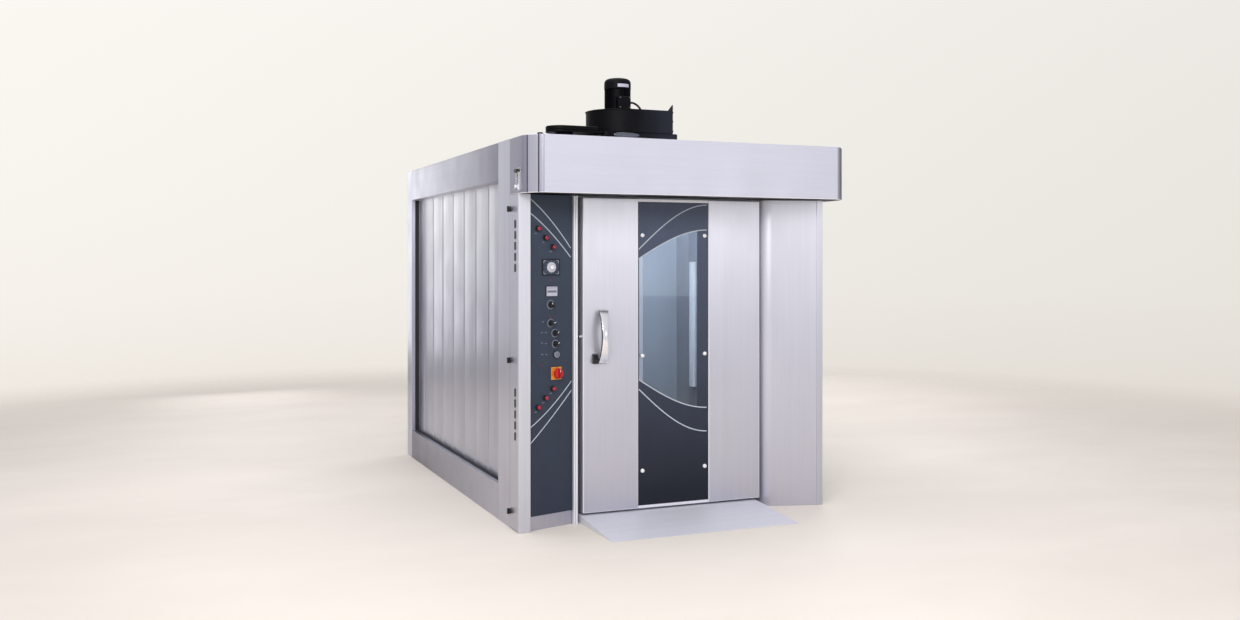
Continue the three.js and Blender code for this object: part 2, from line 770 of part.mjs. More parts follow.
// Knob with a pointer ridge on a stem that passes through the panel.
function knob(radius, rise, seat) {
  const body = facing([
    [0, seat + fit], [radius, seat + fit], [radius * 0.94, seat + rise * 0.7],
    [radius * 0.8, seat + rise * 0.8], [0, seat + rise * 0.8],
  ], 16);
  const ridge = block(-radius * 0.22, radius * 0.22, -(seat + rise), -(seat + rise / 2), -radius * 0.9,
    radius * 0.9);
  const stem = facing([[0, -stemDepth], [stemRadius, -stemDepth], [stemRadius, seat + 1], [0, seat + 1]], 8);
  return join(body, ridge, stem);
}

function buttonCap() {
  const low = boxRise;
  const high = boxRise + lensRise;
  const cap = facing([[0, low], [buttonRadius, low], [buttonRadius, high - 1], [buttonRadius - 2, high + 1],
    [0, high + 1]], 20);
  const stem = facing([[0, -stemDepth], [stemRadius, -stemDepth], [stemRadius, low + 1], [0, low + 1]], 8);
  return join(cap, stem);
}

place(panelGroup, 'timer_knob', knob(timerDial, timerRise, boxRise), whitePlastic,
  [along(timerX), 0, timerZ]);
place(panelGroup, 'thermostat_knob', knob(knobRadius, knobRise, 0), blackPlastic,
  [along(thermostatX), 0, thermostatZ]);
const selectorNames = ['fan_selector', 'light_selector', 'rotation_selector'];
selectorNames.forEach((name, i) => {
  const [x, z] = selectors[i];
  place(panelGroup, name, knob(selectorRadius, knobRise, 0), blackPlastic, [along(x), 0, z]);
});
place(panelGroup, 'steam_button', buttonCap(), whitePlastic, [along(buttonX), 0, buttonZ]);
place(panelGroup, 'main_switch', knob(switchRadius, switchRise, boxRise), redPlastic,
  [along(plateX), 0, plateZ]);

function kickPlate() {
  const path = [[0, kickSetback + panelReturn], [0, kickSetback], [panelLength, kickSetback],
    [panelLength, kickSetback + panelReturn]];
  return upright(folded(path), 0, kickHeight - fit);
}
place(panelGroup, 'kick_plate', kickPlate(), steelShade);

// Jamb profile beside the door: a narrow channel with a rounded nose, fixed to the portal.
function jambProfile() {
  const x0 = panelEndX + fit;
  const nose = jambWidth / 2;
  const outline = [
    ...circle(x0 + nose, jambFrontY + nose, nose, 10, Math.PI, Math.PI),
    [x0 + jambWidth, portalY - fit], [x0, portalY - fit],
  ];
  return upright(outline, 0, hoodUnderside - fit);
}
place(oven, 'jamb_profile', jambProfile(), steel);

// Right front panel: splayed like the control panel, rounded back toward the door.
function rightPanel() {
  const startX = bodyWidth - rightPostWidth;
  const endX = doorRight + rightPanelGap;
  const slope = Math.atan2(rightFoldY - rightStepY, startX - doorRight - rightFoldX);
  const turnLift = 6;
  const turnY = rightFoldY + rightPanelTurn + turnLift;
  const arc = circle(endX + rightPanelTurn, turnY, rightPanelTurn, 10, Math.PI, Math.PI / 2 - slope);
  const path = [
    [endX, portalY - fit], ...arc, [startX, rightStepY], [startX, 0], [bodyWidth, 0], [bodyWidth, postReturn],
  ];
  return upright(folded(path), 0, hoodUnderside - fit);
}
place(oven, 'right_front_panel', rightPanel(), steel);

// ---------------------------------------------------------------- sides
const lockInset = 18;
const lockY = serviceCoverEnd - lockInset;
const lockEdge = 103;
const lockTopDrop = 83;
const lockMiddleRise = 8.5;    // middle lock above half height
const lockHeights = [lockEdge, hoodUnderside / 2 + lockMiddleRise, hoodUnderside - lockTopDrop];
const lockRadius = 13;
const lockStem = 7;
const ventY = 67;
const ventWidth = 7;
const ventHeight = 44;
const ventPitch = 64;
const ventCount = 5;
const ventLow = 554;
const ventHighDrop = 430;
const ventGroups = [hoodUnderside - ventHighDrop, ventLow];
const coverFold = 12;
const coverLift = 4;
const coverStart = postReturn + fit;

function serviceCover() {
  const end = serviceCoverEnd - fit;
  const path = [[coverFold, end], [0, end], [0, coverStart], [coverFold, coverStart]];
  const sheet = upright(folded(path), coverLift, hoodUnderside - fit);
  const vents = ventGroups.flatMap((first) => Array.from({ length: ventCount }, (_, i) => {
    const z = first + i * ventPitch;
    return block(-1, sheetThickness + 1, ventY - ventWidth / 2, ventY + ventWidth / 2, z - ventHeight / 2,
      z + ventHeight / 2);
  }));
  const holes = lockHeights.map((z) => (
    alongX(circle(lockY, z, boreRadius(lockStem, 10), 10), -1, sheetThickness + 1)
  ));
  return cut(sheet, ...vents, ...holes);
}
place(oven, 'service_cover', serviceCover(), steelShade);

// Quarter-turn lock: round head with a grip bar outside, stem and short cam inside.
const lockHead = 8;
const lockBar = 15;
const camThickness = 4;
const camGap = 4;
function coverLock() {
  const head = alongX(circle(0, 0, lockRadius, 16), -lockHead, -fit);
  const grip = lockRadius * 0.9;
  const bar = block(-lockBar, 1 - lockHead, -grip, grip, -grip / 3, grip / 3);
  const stem = alongX(circle(0, 0, lockStem, 10), -1, sheetThickness + camGap + 1);
  const cam = block(sheetThickness + camGap, sheetThickness + camGap + camThickness, -lockStem, lockStem,
    -lockRadius * 0.8, lockRadius * 0.8);
  return join(head, bar, stem, cam);
}
lockHeights.forEach((z, i) => {
  place(oven, `cover_lock_${i + 1}`, coverLock(), blackPlastic, [0, lockY, z]);
});

// Room that the folds of the covers leave for the base pan below and the roof panel above.
function foldNotches(y0, y1) {
  const x0 = sheetThickness;
  const x1 = bodyWidth - sheetThickness;
  return [
    block(x0, x1, y0, y1, -1, baseHeight + fit), block(x0, x1, y0, y1, roofBottom - fit, bodyHeight + 1),
  ];
}

// Flat cover behind the service cover; its rear fold closes the recess of the cladding. It is
// stepped back above, where the hood's side begins.
function frontCover(start) {
  const path = [[recessDepth, frontCoverEnd], [0, frontCoverEnd], [0, start]];
  const hoodStep = block(-1, sheetThickness + 1, 0, hoodBack + fit, hoodUnderside - fit, bodyHeight + 1);
  return cut(upright(folded(path), 0, bodyHeight), hoodStep, ...foldNotches(start - 1, frontCoverEnd + 1));
}
place(oven, 'left_front_cover', frontCover(serviceCoverEnd), steelShade);

// The right side has no service cover: its one cover starts at the front panel's flange.
const rightCover = mirrored(frontCover(postReturn + fit), bodyWidth / 2);
place(oven, 'right_front_cover', rightCover, steelShade);

const sideStart = frontCoverEnd + fit;
const sideEnd = bodyDepth - rearReturn - fit;
const fasciaBottom = bodyHeight - fasciaHeight;
const roofFold = 30;
const recessLip = 20;          // ledges behind the cladding's face
function topFascia() {
  const path = [
    [roofFold, roofBottom - fit], [0, roofBottom - fit], [0, fasciaBottom],
    [recessDepth + recessLip, fasciaBottom],
  ];
  return alongY(folded(path), sideStart, sideEnd);
}
function bottomRail() {
  const path = [[recessDepth + recessLip, railHeight], [0, railHeight], [0, 0]];
  return alongY(folded(path), sideStart, sideEnd);
}
// Cladding: sheet folded into shallow ribs every 300 mm.
function cladding() {
  const path = [[recessDepth, sideEnd]];
  const count = Math.floor((sideEnd - sideStart) / claddingPitch);
  const margin = (sideEnd - sideStart - count * claddingPitch) / 2;
  for (let i = count - 1; i >= 0; i -= 1) {
    const y = sideStart + margin + i * claddingPitch;
    path.push([recessDepth, y + claddingPitch * 0.94]);
    path.push([recessDepth + claddingRib, y + claddingPitch * 0.9]);
    path.push([recessDepth + claddingRib, y + claddingPitch * 0.86]);
    path.push([recessDepth, y + claddingPitch * 0.5]);
  }
  path.push([recessDepth, sideStart]);
  return upright(folded(path), railHeight + fit, fasciaBottom - fit);
}
const sidePieces = [
  ['top_fascia', topFascia()], ['bottom_rail', bottomRail()], ['cladding', cladding()],
];
for (const [name, geometry] of sidePieces) {
  place(oven, `left_${name}`, geometry, steelShade);
  place(oven, `right_${name}`, mirrored(geometry, bodyWidth / 2), steelShade);
}

// ---------------------------------------------------------------- rear and roof
const louvreCount = 8;
const louvreBottom = 360;
const louvrePitch = 44;
const louvreHeight = 14;
const louvreLength = 520;
function rearPanel() {
  const path = [
    [recessDepth, bodyDepth - rearReturn], [0, bodyDepth - rearReturn], [0, bodyDepth],
    [bodyWidth, bodyDepth], [bodyWidth, bodyDepth - rearReturn],
    [bodyWidth - recessDepth, bodyDepth - rearReturn],
  ];
  const shell = upright(folded(path.reverse()), 0, bodyHeight);
  const middle = bodyWidth / 2;
  const louvres = Array.from({ length: louvreCount }, (_, i) => {
    const z = louvreBottom + i * louvrePitch;
    return block(middle - louvreLength / 2, middle + louvreLength / 2, bodyDepth - sheetThickness - 1,
      bodyDepth + 1, z, z + louvreHeight);
  });
  return cut(shell, ...louvres, ...foldNotches(bodyDepth - rearReturn - 1, bodyDepth - sheetThickness));
}
place(oven, 'rear_panel', rearPanel(), steelShade);

function roofPanel() {
  const outline = rectangle(sheetThickness + fit, bodyWidth - sheetThickness - fit, hoodBack + fit,
    bodyDepth - sheetThickness - fit);
  const holes = [circle(blowerX, blowerY, inletRadius, 32)];
  return upright(outline, roofBottom, bodyHeight, holes);
}
place(oven, 'roof_panel', roofPanel(), steelShade);

// ---------------------------------------------------------------- hood
const grooveDepth = 3;
// corner profile as shares of the bevel, with a small groove after the first and the third point
const cornerShares = [[0, 0], [0.16, 0.31], [0.52, 0.62], [0.72, 0.85], [1, 1]];
const grooved = [1, 3];
function hoodCorner() {
  const sideEndY = hoodBevelDepth - hoodProjection;
  return cornerShares.flatMap(([across, ahead], i) => {
    const x = hoodBevelWidth * across;
    const y = sideEndY - hoodBevelDepth * ahead;
    const groove = [[x, y], [x + grooveDepth, y], [x + grooveDepth, y - grooveDepth]];
    return grooved.includes(i) ? groove : [[x, y]];
  });
}
function hoodOutline() {
  const left = hoodCorner();
  const right = hoodCorner().map(([x, y]) => [hoodRight - x, y]).reverse();
  return [[0, hoodBack], ...left, ...right, [hoodRight, hoodBack]];
}
// Plan of the room in the hood, drawn in by the gap.
const hoodWall = hoodSheet + grooveDepth;
function hoodInside(gap, back) {
  const side = hoodWall + gap;
  const front = side - hoodProjection;
  const turn = hoodBevelDepth - hoodProjection + hoodSheet + gap;
  const bevel = hoodBevelWidth + hoodSheet + gap;
  return [
    [side, back], [side, turn], [bevel, front], [hoodRight - bevel, front], [hoodRight - side, turn],
    [hoodRight - side, back],
  ];
}
function hoodShell() {
  const outer = upright(hoodOutline(), hoodUnderside, bodyHeight);
  return cut(outer, upright(hoodInside(0, hoodBack + 1), hoodUnderside - 1, bodyHeight - hoodSheet));
}
place(oven, 'hood_shell', hoodShell(), hoodSteel);

const suctionSlots = 14;
const suctionWidth = 40;
const slotFront = -60;
function hoodBaffle() {
  const pitch = doorWidth / suctionSlots;
  const low = hoodUnderside + baffleRise;
  const slots = Array.from({ length: suctionSlots }, (_, i) => {
    const x = doorLeft + (i + 0.2) * pitch;
    return block(x, x + 0.6 * pitch, slotFront, slotFront + suctionWidth, low - 1, low + sheetThickness + 1);
  });
  return cut(upright(hoodInside(fit, hoodBack), low, low + sheetThickness), ...slots);
}
place(oven, 'hood_baffle', hoodBaffle(), blackPaint);

// Toggle latch on the hood's left side: a base plate with two ears and a bowed lever.
const latchY = 40;
const latchRise = 17;
const latchZ = hoodUnderside + latchRise;
const latchHeight = 132;
const latchWidth = 62;
const latchPlate = 4;
const latchEar = 6;
const latchPivotX = -16;
const latchPivotZ = latchZ + 20;
const latchPin = 4;
const latchEye = 9;
function latchBase() {
  const half = latchWidth / 2;
  const plate = block(-latchPlate, -fit, latchY - half, latchY + half, latchZ, latchZ + latchHeight);
  const outer = latchPivotX - latchPin - 2;
  const ears = [latchY - half, latchY + half - latchEar].map((y) => {
    const outline = [
      [1 - latchPlate, latchPivotZ - 14], [outer, latchPivotZ - 10], [outer, latchPivotZ + 10],
      [1 - latchPlate, latchPivotZ + 24],
    ];
    return alongY(outline, y, y + latchEar);
  });
  const pin = alongY(circle(latchPivotX, latchPivotZ, latchPin, 12), latchY - half + latchEar / 2,
    latchY + half - latchEar / 2);
  return join(plate, ...ears, pin);
}
place(oven, 'latch_base', latchBase(), chrome);
function latchLever() {
  const half = latchWidth / 2 - latchEar - fit;
  const path = [[0, latchEye - 2], [-1, 40], [-5, 66], [-4, 92], [-1, 104]];
  const sheet = folded(path, latchPlate).map(([x, z]) => [x + latchPivotX, z + latchPivotZ]);
  const arm = alongY(sheet, latchY - half, latchY + half);
  const eye = alongY(circle(latchPivotX, latchPivotZ, latchEye, 16), latchY - half, latchY + half,
    [circle(latchPivotX, latchPivotZ, latchPin + fit, 12)]);
  return join(arm, eye);
}
place(oven, 'latch_lever', latchLever(), chrome);

// ---------------------------------------------------------------- door
const glassLeft = doorLeft + cassetteWidth;
const glassRight = doorRight - cassetteWidth - glassEdge;
const glassBottom = doorBottom + glassBottomRail;
const glassFrontY = doorFaceY + 3;
const studXs = [glassLeft + studInset, glassRight - studInset];
const studHeights = [doorBottom + studLowRise, doorBottom + studMiddleRise, doorTop - studHighDrop];
const studs = studXs.flatMap((x) => studHeights.map((z) => [x, z]));
const windowLowLeft = doorBottom + windowLowLeftRise;
const windowLowRight = doorBottom + windowLowRightRise;
const windowHighLeft = doorTop - windowHighLeftDrop;
const windowHighRight = doorTop - windowHighRightDrop;

// Clear window: straight sides, and a bow above and below that opens toward the hinge.
function windowOutline() {
  const x0 = glassLeft + windowMargin;
  const x1 = glassRight - windowMargin;
  const steps = 8;
  const arc = (start, end) => Array.from({ length: steps + 1 }, (_, i) => {
    const share = i / steps;
    return [x0 + share * (x1 - x0), start + Math.sin((share * Math.PI) / 2) * (end - start)];
  });
  return [...arc(windowLowLeft, windowLowRight), ...arc(windowHighLeft, windowHighRight).reverse()];
}

const handleX = doorLeft + handleOffset;
const boltHole = boltRadius + fit;
const innerGlassThickness = 5;
const rebate = 22;
const handlePivotY = doorFaceY - handleStand;
const handlePivotZ = handleBottom + pivotRise;
const pivotRadius = 5;

// Rooms inside the leaf's sheet metal, joined round the window, with two vents in the top edge.
const endRail = 40;
const doorVent = 12;
function doorRooms() {
  const t = sheetThickness;
  const low = doorBottom + endRail;
  const high = doorTop - endRail;
  const back = doorBackY - t;
  const behindGlass = doorFaceY + glassRecess + t;
  const ventX = [doorLeft + cassetteWidth / 2, doorRight - cassetteWidth / 2];
  return [
    block(doorLeft + t, glassLeft - t, doorFaceY + t, back, low, high),
    block(glassRight + t, doorRight - t, doorFaceY + t, back, low, high),
    block(doorLeft + t, doorRight - t, behindGlass, back, low, windowLowRight - rebate - t),
    block(doorLeft + t, doorRight - t, behindGlass, back, windowHighRight + rebate + t, high),
    ...ventX.map((x) => block(x, x + doorVent, behindGlass, behindGlass + doorVent, high - 1, doorTop + 1)),
  ];
}

// A stud that holds the glass: washer behind it, pin through it and a domed cap in front.
const studCapRise = 11;
function stud(x, z) {
  const seatY = doorFaceY + glassRecess + 1;
  const washer = alongY(circle(x, z, studCapRadius - 3, 8), glassFrontY + glassThickness + fit, seatY);
  const pin = alongY(circle(x, z, studPinRadius, 8), glassFrontY - 2, seatY);
  const cap = facing([
    [0, 0], [studCapRadius, 0], [studCapRadius, studCapRise * 0.4], [studCapRadius * 0.7, studCapRise * 0.8],
    [0, studCapRise],
  ], 10);
  return join(washer, pin, cap.translate(x, glassFrontY - fit, z));
}

// Two ears with a pin that carry the handle, and the block that its upper end rests on.
const earGap = 1;
const earThickness = 10;
const restWidth = 26;
function handleMounts() {
  const half = handleWidth / 2 + earGap;
  const ears = [handleX - half - earThickness, handleX + half].map((x) => {
    const outline = [
      [doorFaceY + 1, handlePivotZ - 26], [doorFaceY + 1, handlePivotZ + 28],
      [handlePivotY - 2, handlePivotZ + 14], [handlePivotY - 12, handlePivotZ],
      [handlePivotY - 6, handlePivotZ - 18],
    ];
    return alongX(outline, x, x + earThickness);
  });
  const pinOutline = circle(handlePivotY, handlePivotZ, pivotRadius, 14);
  const pin = alongX(pinOutline, handleX - half - 1, handleX + half + 1);
  const top = handleBottom + handleHeight;
  const seatY = handlePivotY + handleThickness / 2 + fit;
  const restOutline = [
    [doorFaceY + 1, top - 50], [doorFaceY + 1, top - 4], [seatY, top - 10], [seatY, top - 34],
  ];
  const rest = alongX(restOutline, handleX - restWidth / 2, handleX + restWidth / 2);
  return [...ears, pin, rest];
}

function doorLeaf() {
  const core = block(doorLeft, doorRight, doorFaceY, doorBackY, doorBottom, doorTop);
  const channel = block(glassLeft, glassRight, doorFaceY - 1, doorFaceY + glassRecess, glassBottom,
    doorTop - glassBottomRail);
  const opening = alongY(windowOutline(), doorFaceY - 2, doorBackY + 2);
  const back = rectangle(glassLeft + windowMargin - rebate, glassRight - windowMargin + rebate,
    windowLowRight - rebate, windowHighRight + rebate);
  const backRebate = alongY(back, doorBackY - innerGlassThickness - 2 * fit, doorBackY + 1);
  const socket = hingePinLength + hingePinGap;
  const pinHoles = [
    disc(hingePinRadius + fit, doorTop - socket, doorTop + 1, 20),
    disc(hingePinRadius + fit, doorBottom - 1, doorBottom + socket, 20),
  ].map((hole) => hole.translate(hingeX, hingeY, 0));
  const boltY = doorFaceY + doorThickness / 2;
  const boltEnd = doorLeft + boltLength + boltThrow;
  const boltBore = alongX(circle(boltY, boltHeight, boltHole, 20), doorLeft - 1, boltEnd);
  const lockCase = block(doorLeft + 1, boltEnd + boltRadius, doorFaceY + 1, doorBackY - 1,
    boltHeight - 2 * boltRadius, boltHeight + 2 * boltRadius);
  const shell = join(cut(core, channel, opening, ...doorRooms(), backRebate, ...pinHoles), lockCase);
  return join(cut(shell, boltBore), ...studs.map(([x, z]) => stud(x, z)), ...handleMounts());
}
place(oven, 'door_leaf', doorLeaf(), steel);

function outerGlass() {
  const glassTop = doorTop - glassBottomRail;
  const outline = rectangle(glassLeft + fit, glassRight - fit, glassBottom + fit, glassTop - fit);
  const holes = studs.map(([x, z]) => circle(x, z, studPinRadius + 2 * fit, 8));
  return alongY(outline, glassFrontY, glassFrontY + glassThickness, holes);
}
place(oven, 'door_outer_glass', outerGlass(), glassTint);

function innerGlass() {
  const inset = rebate - fit;
  const outline = rectangle(glassLeft + windowMargin - inset, glassRight - windowMargin + inset,
    windowLowRight - inset, windowHighRight + inset);
  return alongY(outline, doorBackY - innerGlassThickness - fit, doorBackY - fit);
}
place(oven, 'door_inner_glass', innerGlass(), clearGlass);

const gasketFloorGap = 4;
const gasketHingeInset = 36;   // room for the pivots
const gasketRight = doorRight - gasketHingeInset;
function doorGasket() {
  const low = doorBottom + gasketFloorGap;
  const high = doorTop - gasketInset;
  const left = doorLeft + gasketInset;
  const outer = rectangle(left, gasketRight, low, high);
  const w = gasketWidth;
  const hole = rectangle(left + w, gasketRight - w, low + w, high - w).reverse();
  return alongY(outer, doorBackY + fit, doorBackY + fit + gasketThickness, [hole]);
}
place(oven, 'door_gasket', doorGasket(), silicone);

// Bow handle: a wide strap that stands on its pivot and curves out between its ends.
const strapStart = 14;
const handleEye = 11;
function doorHandle() {
  const steps = 14;
  const path = Array.from({ length: steps + 1 }, (_, i) => {
    const share = i / steps;
    const bow = Math.sin(share * Math.PI) ** 0.8 * handleBow;
    return [handlePivotY - handleThickness / 2 - bow, handlePivotZ - 4 + share * (handleHeight - strapStart)];
  });
  const half = handleWidth / 2;
  const strap = alongX(folded(path.reverse(), handleThickness), handleX - half, handleX + half);
  const eye = alongX(circle(handlePivotY, handlePivotZ, handleEye, 18), handleX - half, handleX + half);
  const bore = alongX(circle(handlePivotY, handlePivotZ, pivotRadius + fit, 14), handleX - half - 1,
    handleX + half + 1);
  return cut(join(strap, eye), bore);
}
place(oven, 'door_handle', doorHandle(), chrome);

function latchBolt() {
  const y = doorFaceY + doorThickness / 2;
  const start = doorLeft - boltThrow;
  return alongX(circle(y, boltHeight, boltRadius, 20), start, start + boltLength);
}
place(oven, 'latch_bolt', latchBolt(), chrome);

// Door pivots: an angle plate on the portal with a pin that enters the leaf's corner.
const pivotPlate = 3;
const pivotGap = 1;            // between the plates and the leaf
const pivotWeb = 32;
const pivotWebThickness = 4;
const pivotReach = 40;
function pivotBracket(plateZ, pinLow, pinHigh) {
  const left = gasketRight + 2;
  const right = doorRight - 2;
  const plate = block(hingeX - pivotReach, right, hingeY - hingePinRadius - 6, portalY - 1, plateZ,
    plateZ + pivotPlate);
  const pin = disc(hingePinRadius, pinLow, pinHigh, 20).translate(hingeX, hingeY, 0);
  const webY = portalY - 1 - pivotWebThickness;
  const web = block(left, right, webY, portalY - 1, plateZ, plateZ + pivotWeb);
  const tongue = block(left, right, portalY - 2, portalY + 1, plateZ + pivotWeb / 2, plateZ + pivotWeb);
  return join(plate, pin, web, tongue);
}
const upperPlateZ = doorTop + pivotGap;
const lowerPlateZ = doorBottom - pivotPlate - pivotGap;
const portalBackY = portalY + portalThickness;
const portalRoomY = [portalY + sheetThickness, portalBackY - sheetThickness];
const portalVent = block(wallLeft - 1, wallLeft + sheetThickness + 1, ...portalRoomY, wallTop - ventDrop,
  wallTop - ventDrop + ventSize);
const portalFrame = cut(
  alongY(portalOutline(), portalY, portalBackY),
  alongY(portalOutline(sheetThickness), ...portalRoomY),
  portalVent,
);
const portal = join(
  portalFrame,
  pivotBracket(upperPlateZ, doorTop - hingePinLength, upperPlateZ + 1),
  pivotBracket(lowerPlateZ, lowerPlateZ + 1, doorBottom + hingePinLength),
);
place(oven, 'door_portal', portal, insulated);

// Entry ramp: thin steel on triangular cheeks, from the floor to the sill.
const rampFrontY = -400;
const rampNose = 2.5;
const rampTop = 43;
const rampSheet = 3;
const rampCheek = 6;
const rampTaper = 30;
const rampLevelY = doorFaceY + 6;
const rampLeft = doorLeft - 16;
const rampRight = doorRight - 24;
function entryRamp() {
  const back = portalY - fit;
  const deck = alongX([
    [rampFrontY, 0], [rampFrontY, rampNose], [rampLevelY, rampTop], [back, rampTop],
    [back, rampTop - rampSheet], [rampLevelY, rampTop - rampSheet], [rampFrontY + rampTaper, 0],
  ], rampLeft, rampRight);
  const cheekLine = [[rampFrontY + 20, 0], [rampLevelY, rampTop - 2], [back, rampTop - 2], [back, 0]];
  const cheeks = [rampLeft, rampRight - rampCheek].map((x) => alongX(cheekLine, x, x + rampCheek));
  return join(deck, ...cheeks);
}
place(oven, 'entry_ramp', entryRamp(), steelShade);

// ---------------------------------------------------------------- roof blower
const blower = group(blowerX, blowerY, bodyHeight);
const scrollBase = blowerRise;
const scrollTop = scrollBase + scrollHeight;
const scrollFront = scrollStart + scrollGrowth;

// Volute plan: the radius grows steadily from the tongue, round the back, to the outlet's front wall.
const tongueY = -62;
function voluteOutline(inset) {
  const steps = 30;
  const sweep = Math.PI * 1.5;
  const spiral = Array.from({ length: steps + 1 }, (_, i) => {
    const share = i / steps;
    const radius = scrollStart + scrollGrowth * share - inset;
    return [radius * Math.cos(share * sweep), radius * Math.sin(share * sweep)];
  });
  const end = inset > 0 ? outletX + 1 : outletX;
  const tongue = tongueY - inset;
  return [...spiral, [end, inset - scrollFront], [end, tongue], [scrollStart - inset - 5, tongue]];
}

function blowerScroll() {
  const shell = upright(voluteOutline(0), scrollBase + fit, scrollTop);
  const room = upright(voluteOutline(scrollSheet), scrollBase + fit + scrollSheet, scrollTop - scrollSheet);
  const inlet = disc(inletRadius, scrollBase - 1, scrollBase + scrollSheet + 2, 32);
  const shaftWay = disc(motorShaftRadius + shaftGap, scrollTop - scrollSheet - 2, scrollTop + 1, 20);
  const frame = rectangle(-scrollFront - outletLip, tongueY + outletLip, scrollBase + fit,
    scrollTop + 2 * outletLip);
  const mouth = rectangle(scrollSheet - scrollFront, tongueY - scrollSheet, scrollBase + fit + scrollSheet,
    scrollTop - scrollSheet);
  const flange = alongX(frame, outletX - 1, outletX + flangeSheet, [mouth]);
  return join(cut(shell, room, inlet, shaftWay), flange);
}
place(blower, 'blower_scroll', blowerScroll(), blackPaint);

// Plenum box between the roof and the scroll, open below, with the round inlet in its top.
const plenumSheet = 3;
const plenumLeft = -186;
const plenumRight = 326;
const plenumFront = -216;
const plenumBack = 226;
const plenumRadius = 40;
function plenumOutline(inset) {
  const corners = [
    [plenumRight, plenumBack, 0], [plenumLeft, plenumBack, 1], [plenumLeft, plenumFront, 2],
    [plenumRight, plenumFront, 3],
  ];
  return corners.flatMap(([x, y, quarter]) => {
    const centreX = x - Math.sign(x) * plenumRadius;
    const centreY = y - Math.sign(y) * plenumRadius;
    return circle(centreX, centreY, plenumRadius - inset, 6, (quarter * Math.PI) / 2, Math.PI / 2);
  });
}
function blowerBase() {
  const box = upright(plenumOutline(0), fit, scrollBase);
  const room = upright(plenumOutline(plenumSheet), 0, scrollBase - plenumSheet);
  return cut(box, room, disc(inletRadius, scrollBase - plenumSheet - 1, scrollBase + 1, 32));
}

// Wheel: base plate, forward blades, a top ring and a hub on the motor shaft.
function blowerWheel() {
  const z0 = scrollBase + scrollSheet + wheelLift;
  const z1 = z0 + wheelHeight;
  const bladeLine = [[wheelRadius * 0.72, 0], [wheelRadius * 0.86, 6], [wheelRadius - 2, 20]];
  const bladeShape = upright(folded(bladeLine, wheelBlade), z0 + 1, z1 - 1);
  const blades = Array.from({ length: wheelBlades }, (_, i) => (
    bladeShape.clone().rotateZ((i * 2 * Math.PI) / wheelBlades)
  ));
  const eye = circle(0, 0, wheelRadius * 0.7, 32);
  const ring = upright(circle(0, 0, wheelRadius + 2, 32), z0, z0 + wheelPlate, [eye]);
  const plate = disc(wheelRadius + 2, z1 - wheelPlate, z1, 32);
  const hub = disc(wheelHub, z1 - wheelHubDepth, z1 + 1, 20);
  const shaft = disc(motorShaftRadius, z1 - 1, scrollTop + shaftInMotor, 16);
  return join(ring, plate, hub, shaft, ...blades);
}
place(blower, 'blower_wheel', blowerWheel(), darkSteel);

// Motor: flange, finned barrel, fan cowl with a domed top, and the terminal box at its side.
const finCount = 20;
const finDepth = 5;
const motorFlange = 14;
const terminalRight = 106;
const terminalWidth = 76;
const terminalY = -72;
const terminalDepth = 64;
const terminalRise = 16;
const terminalHeight = 76;
function blowerMotor() {
  const foot = scrollTop + fit;
  const barrelTop = foot + motorHeight * 0.68;
  const fins = Array.from({ length: finCount * 2 }, (_, i) => {
    const angle = (i * Math.PI) / finCount;
    const radius = motorRadius - 4 - (i % 2) * finDepth;
    return [radius * Math.cos(angle), radius * Math.sin(angle)];
  });
  const barrel = upright(fins, foot + motorFlange - 1, barrelTop);
  const flange = disc(motorRadius + motorFlange, foot, foot + motorFlange, 24);
  const cowl = turned([
    [0, barrelTop - 1], [motorRadius, barrelTop - 1], [motorRadius, foot + motorHeight * 0.9],
    [motorRadius * 0.93, foot + motorHeight * 0.97], [motorRadius * 0.6, foot + motorHeight],
    [0, foot + motorHeight],
  ], 24);
  const box = block(terminalRight - terminalWidth, terminalRight, terminalY - terminalDepth / 2,
    terminalY + terminalDepth / 2, foot + terminalRise, foot + terminalRise + terminalHeight);
  const bore = disc(motorShaftRadius + fit, foot - 1, scrollTop + shaftInMotor + 1, 20);
  return cut(join(flange, barrel, cowl, box), bore);
}
place(blower, 'blower_motor', blowerMotor(), blackPaint);

// Short conduit from the terminal box down to the scroll.
const conduitRadius = 7;
const conduitPoints = [[fit, 56], [18, 56], [36, 46], [48, 30], [52, 14], [52, 1]];
function conduit() {
  const path = new THREE.CatmullRomCurve3(conduitPoints.map(([ahead, rise]) => (
    new THREE.Vector3(terminalRight + ahead, terminalY, scrollTop + rise)
  )));
  const section = new THREE.Shape(circle(0, 0, conduitRadius, 8).map(([x, y]) => new THREE.Vector2(x, y)));
  return new THREE.ExtrudeGeometry(section, { steps: 12, extrudePath: path, bevelEnabled: false });
}
place(blower, 'motor_conduit', conduit(), blackPlastic);

// Flat steam duct: leaves the roof and joins the side of the blower's plenum.
const ductRise = 50;
const ductHeight = 38;
const ductReach = 289;         // rounded end beyond the plenum
const ductWidth = 180;
const ductGap = 26;            // between the duct's deck and the scroll
const ductFoot = 54;
function steamDuct() {
  const radius = ductWidth / 2;
  const middleY = plenumFront + radius;
  const endX = plenumLeft - ductReach + radius;
  const deckEnd = plenumLeft - ductGap;
  const arc = circle(endX, middleY, radius, 12, Math.PI / 2, Math.PI);
  const deck = upright([...arc, [deckEnd, plenumFront], [deckEnd, plenumFront + ductWidth]], ductRise,
    ductRise + ductHeight);
  const foot = disc(ductFoot, fit, ductRise + 1, 20).translate(endX + radius / 4, middleY, 0);
  const web = block(deckEnd - ductGap, plenumLeft + 1, middleY - radius / 2, middleY + radius / 2, fit,
    ductRise + 1);
  return join(deck, foot, web);
}
place(blower, 'blower_base', join(blowerBase(), steamDuct()), blackPaint);

export default oven;
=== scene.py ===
import math

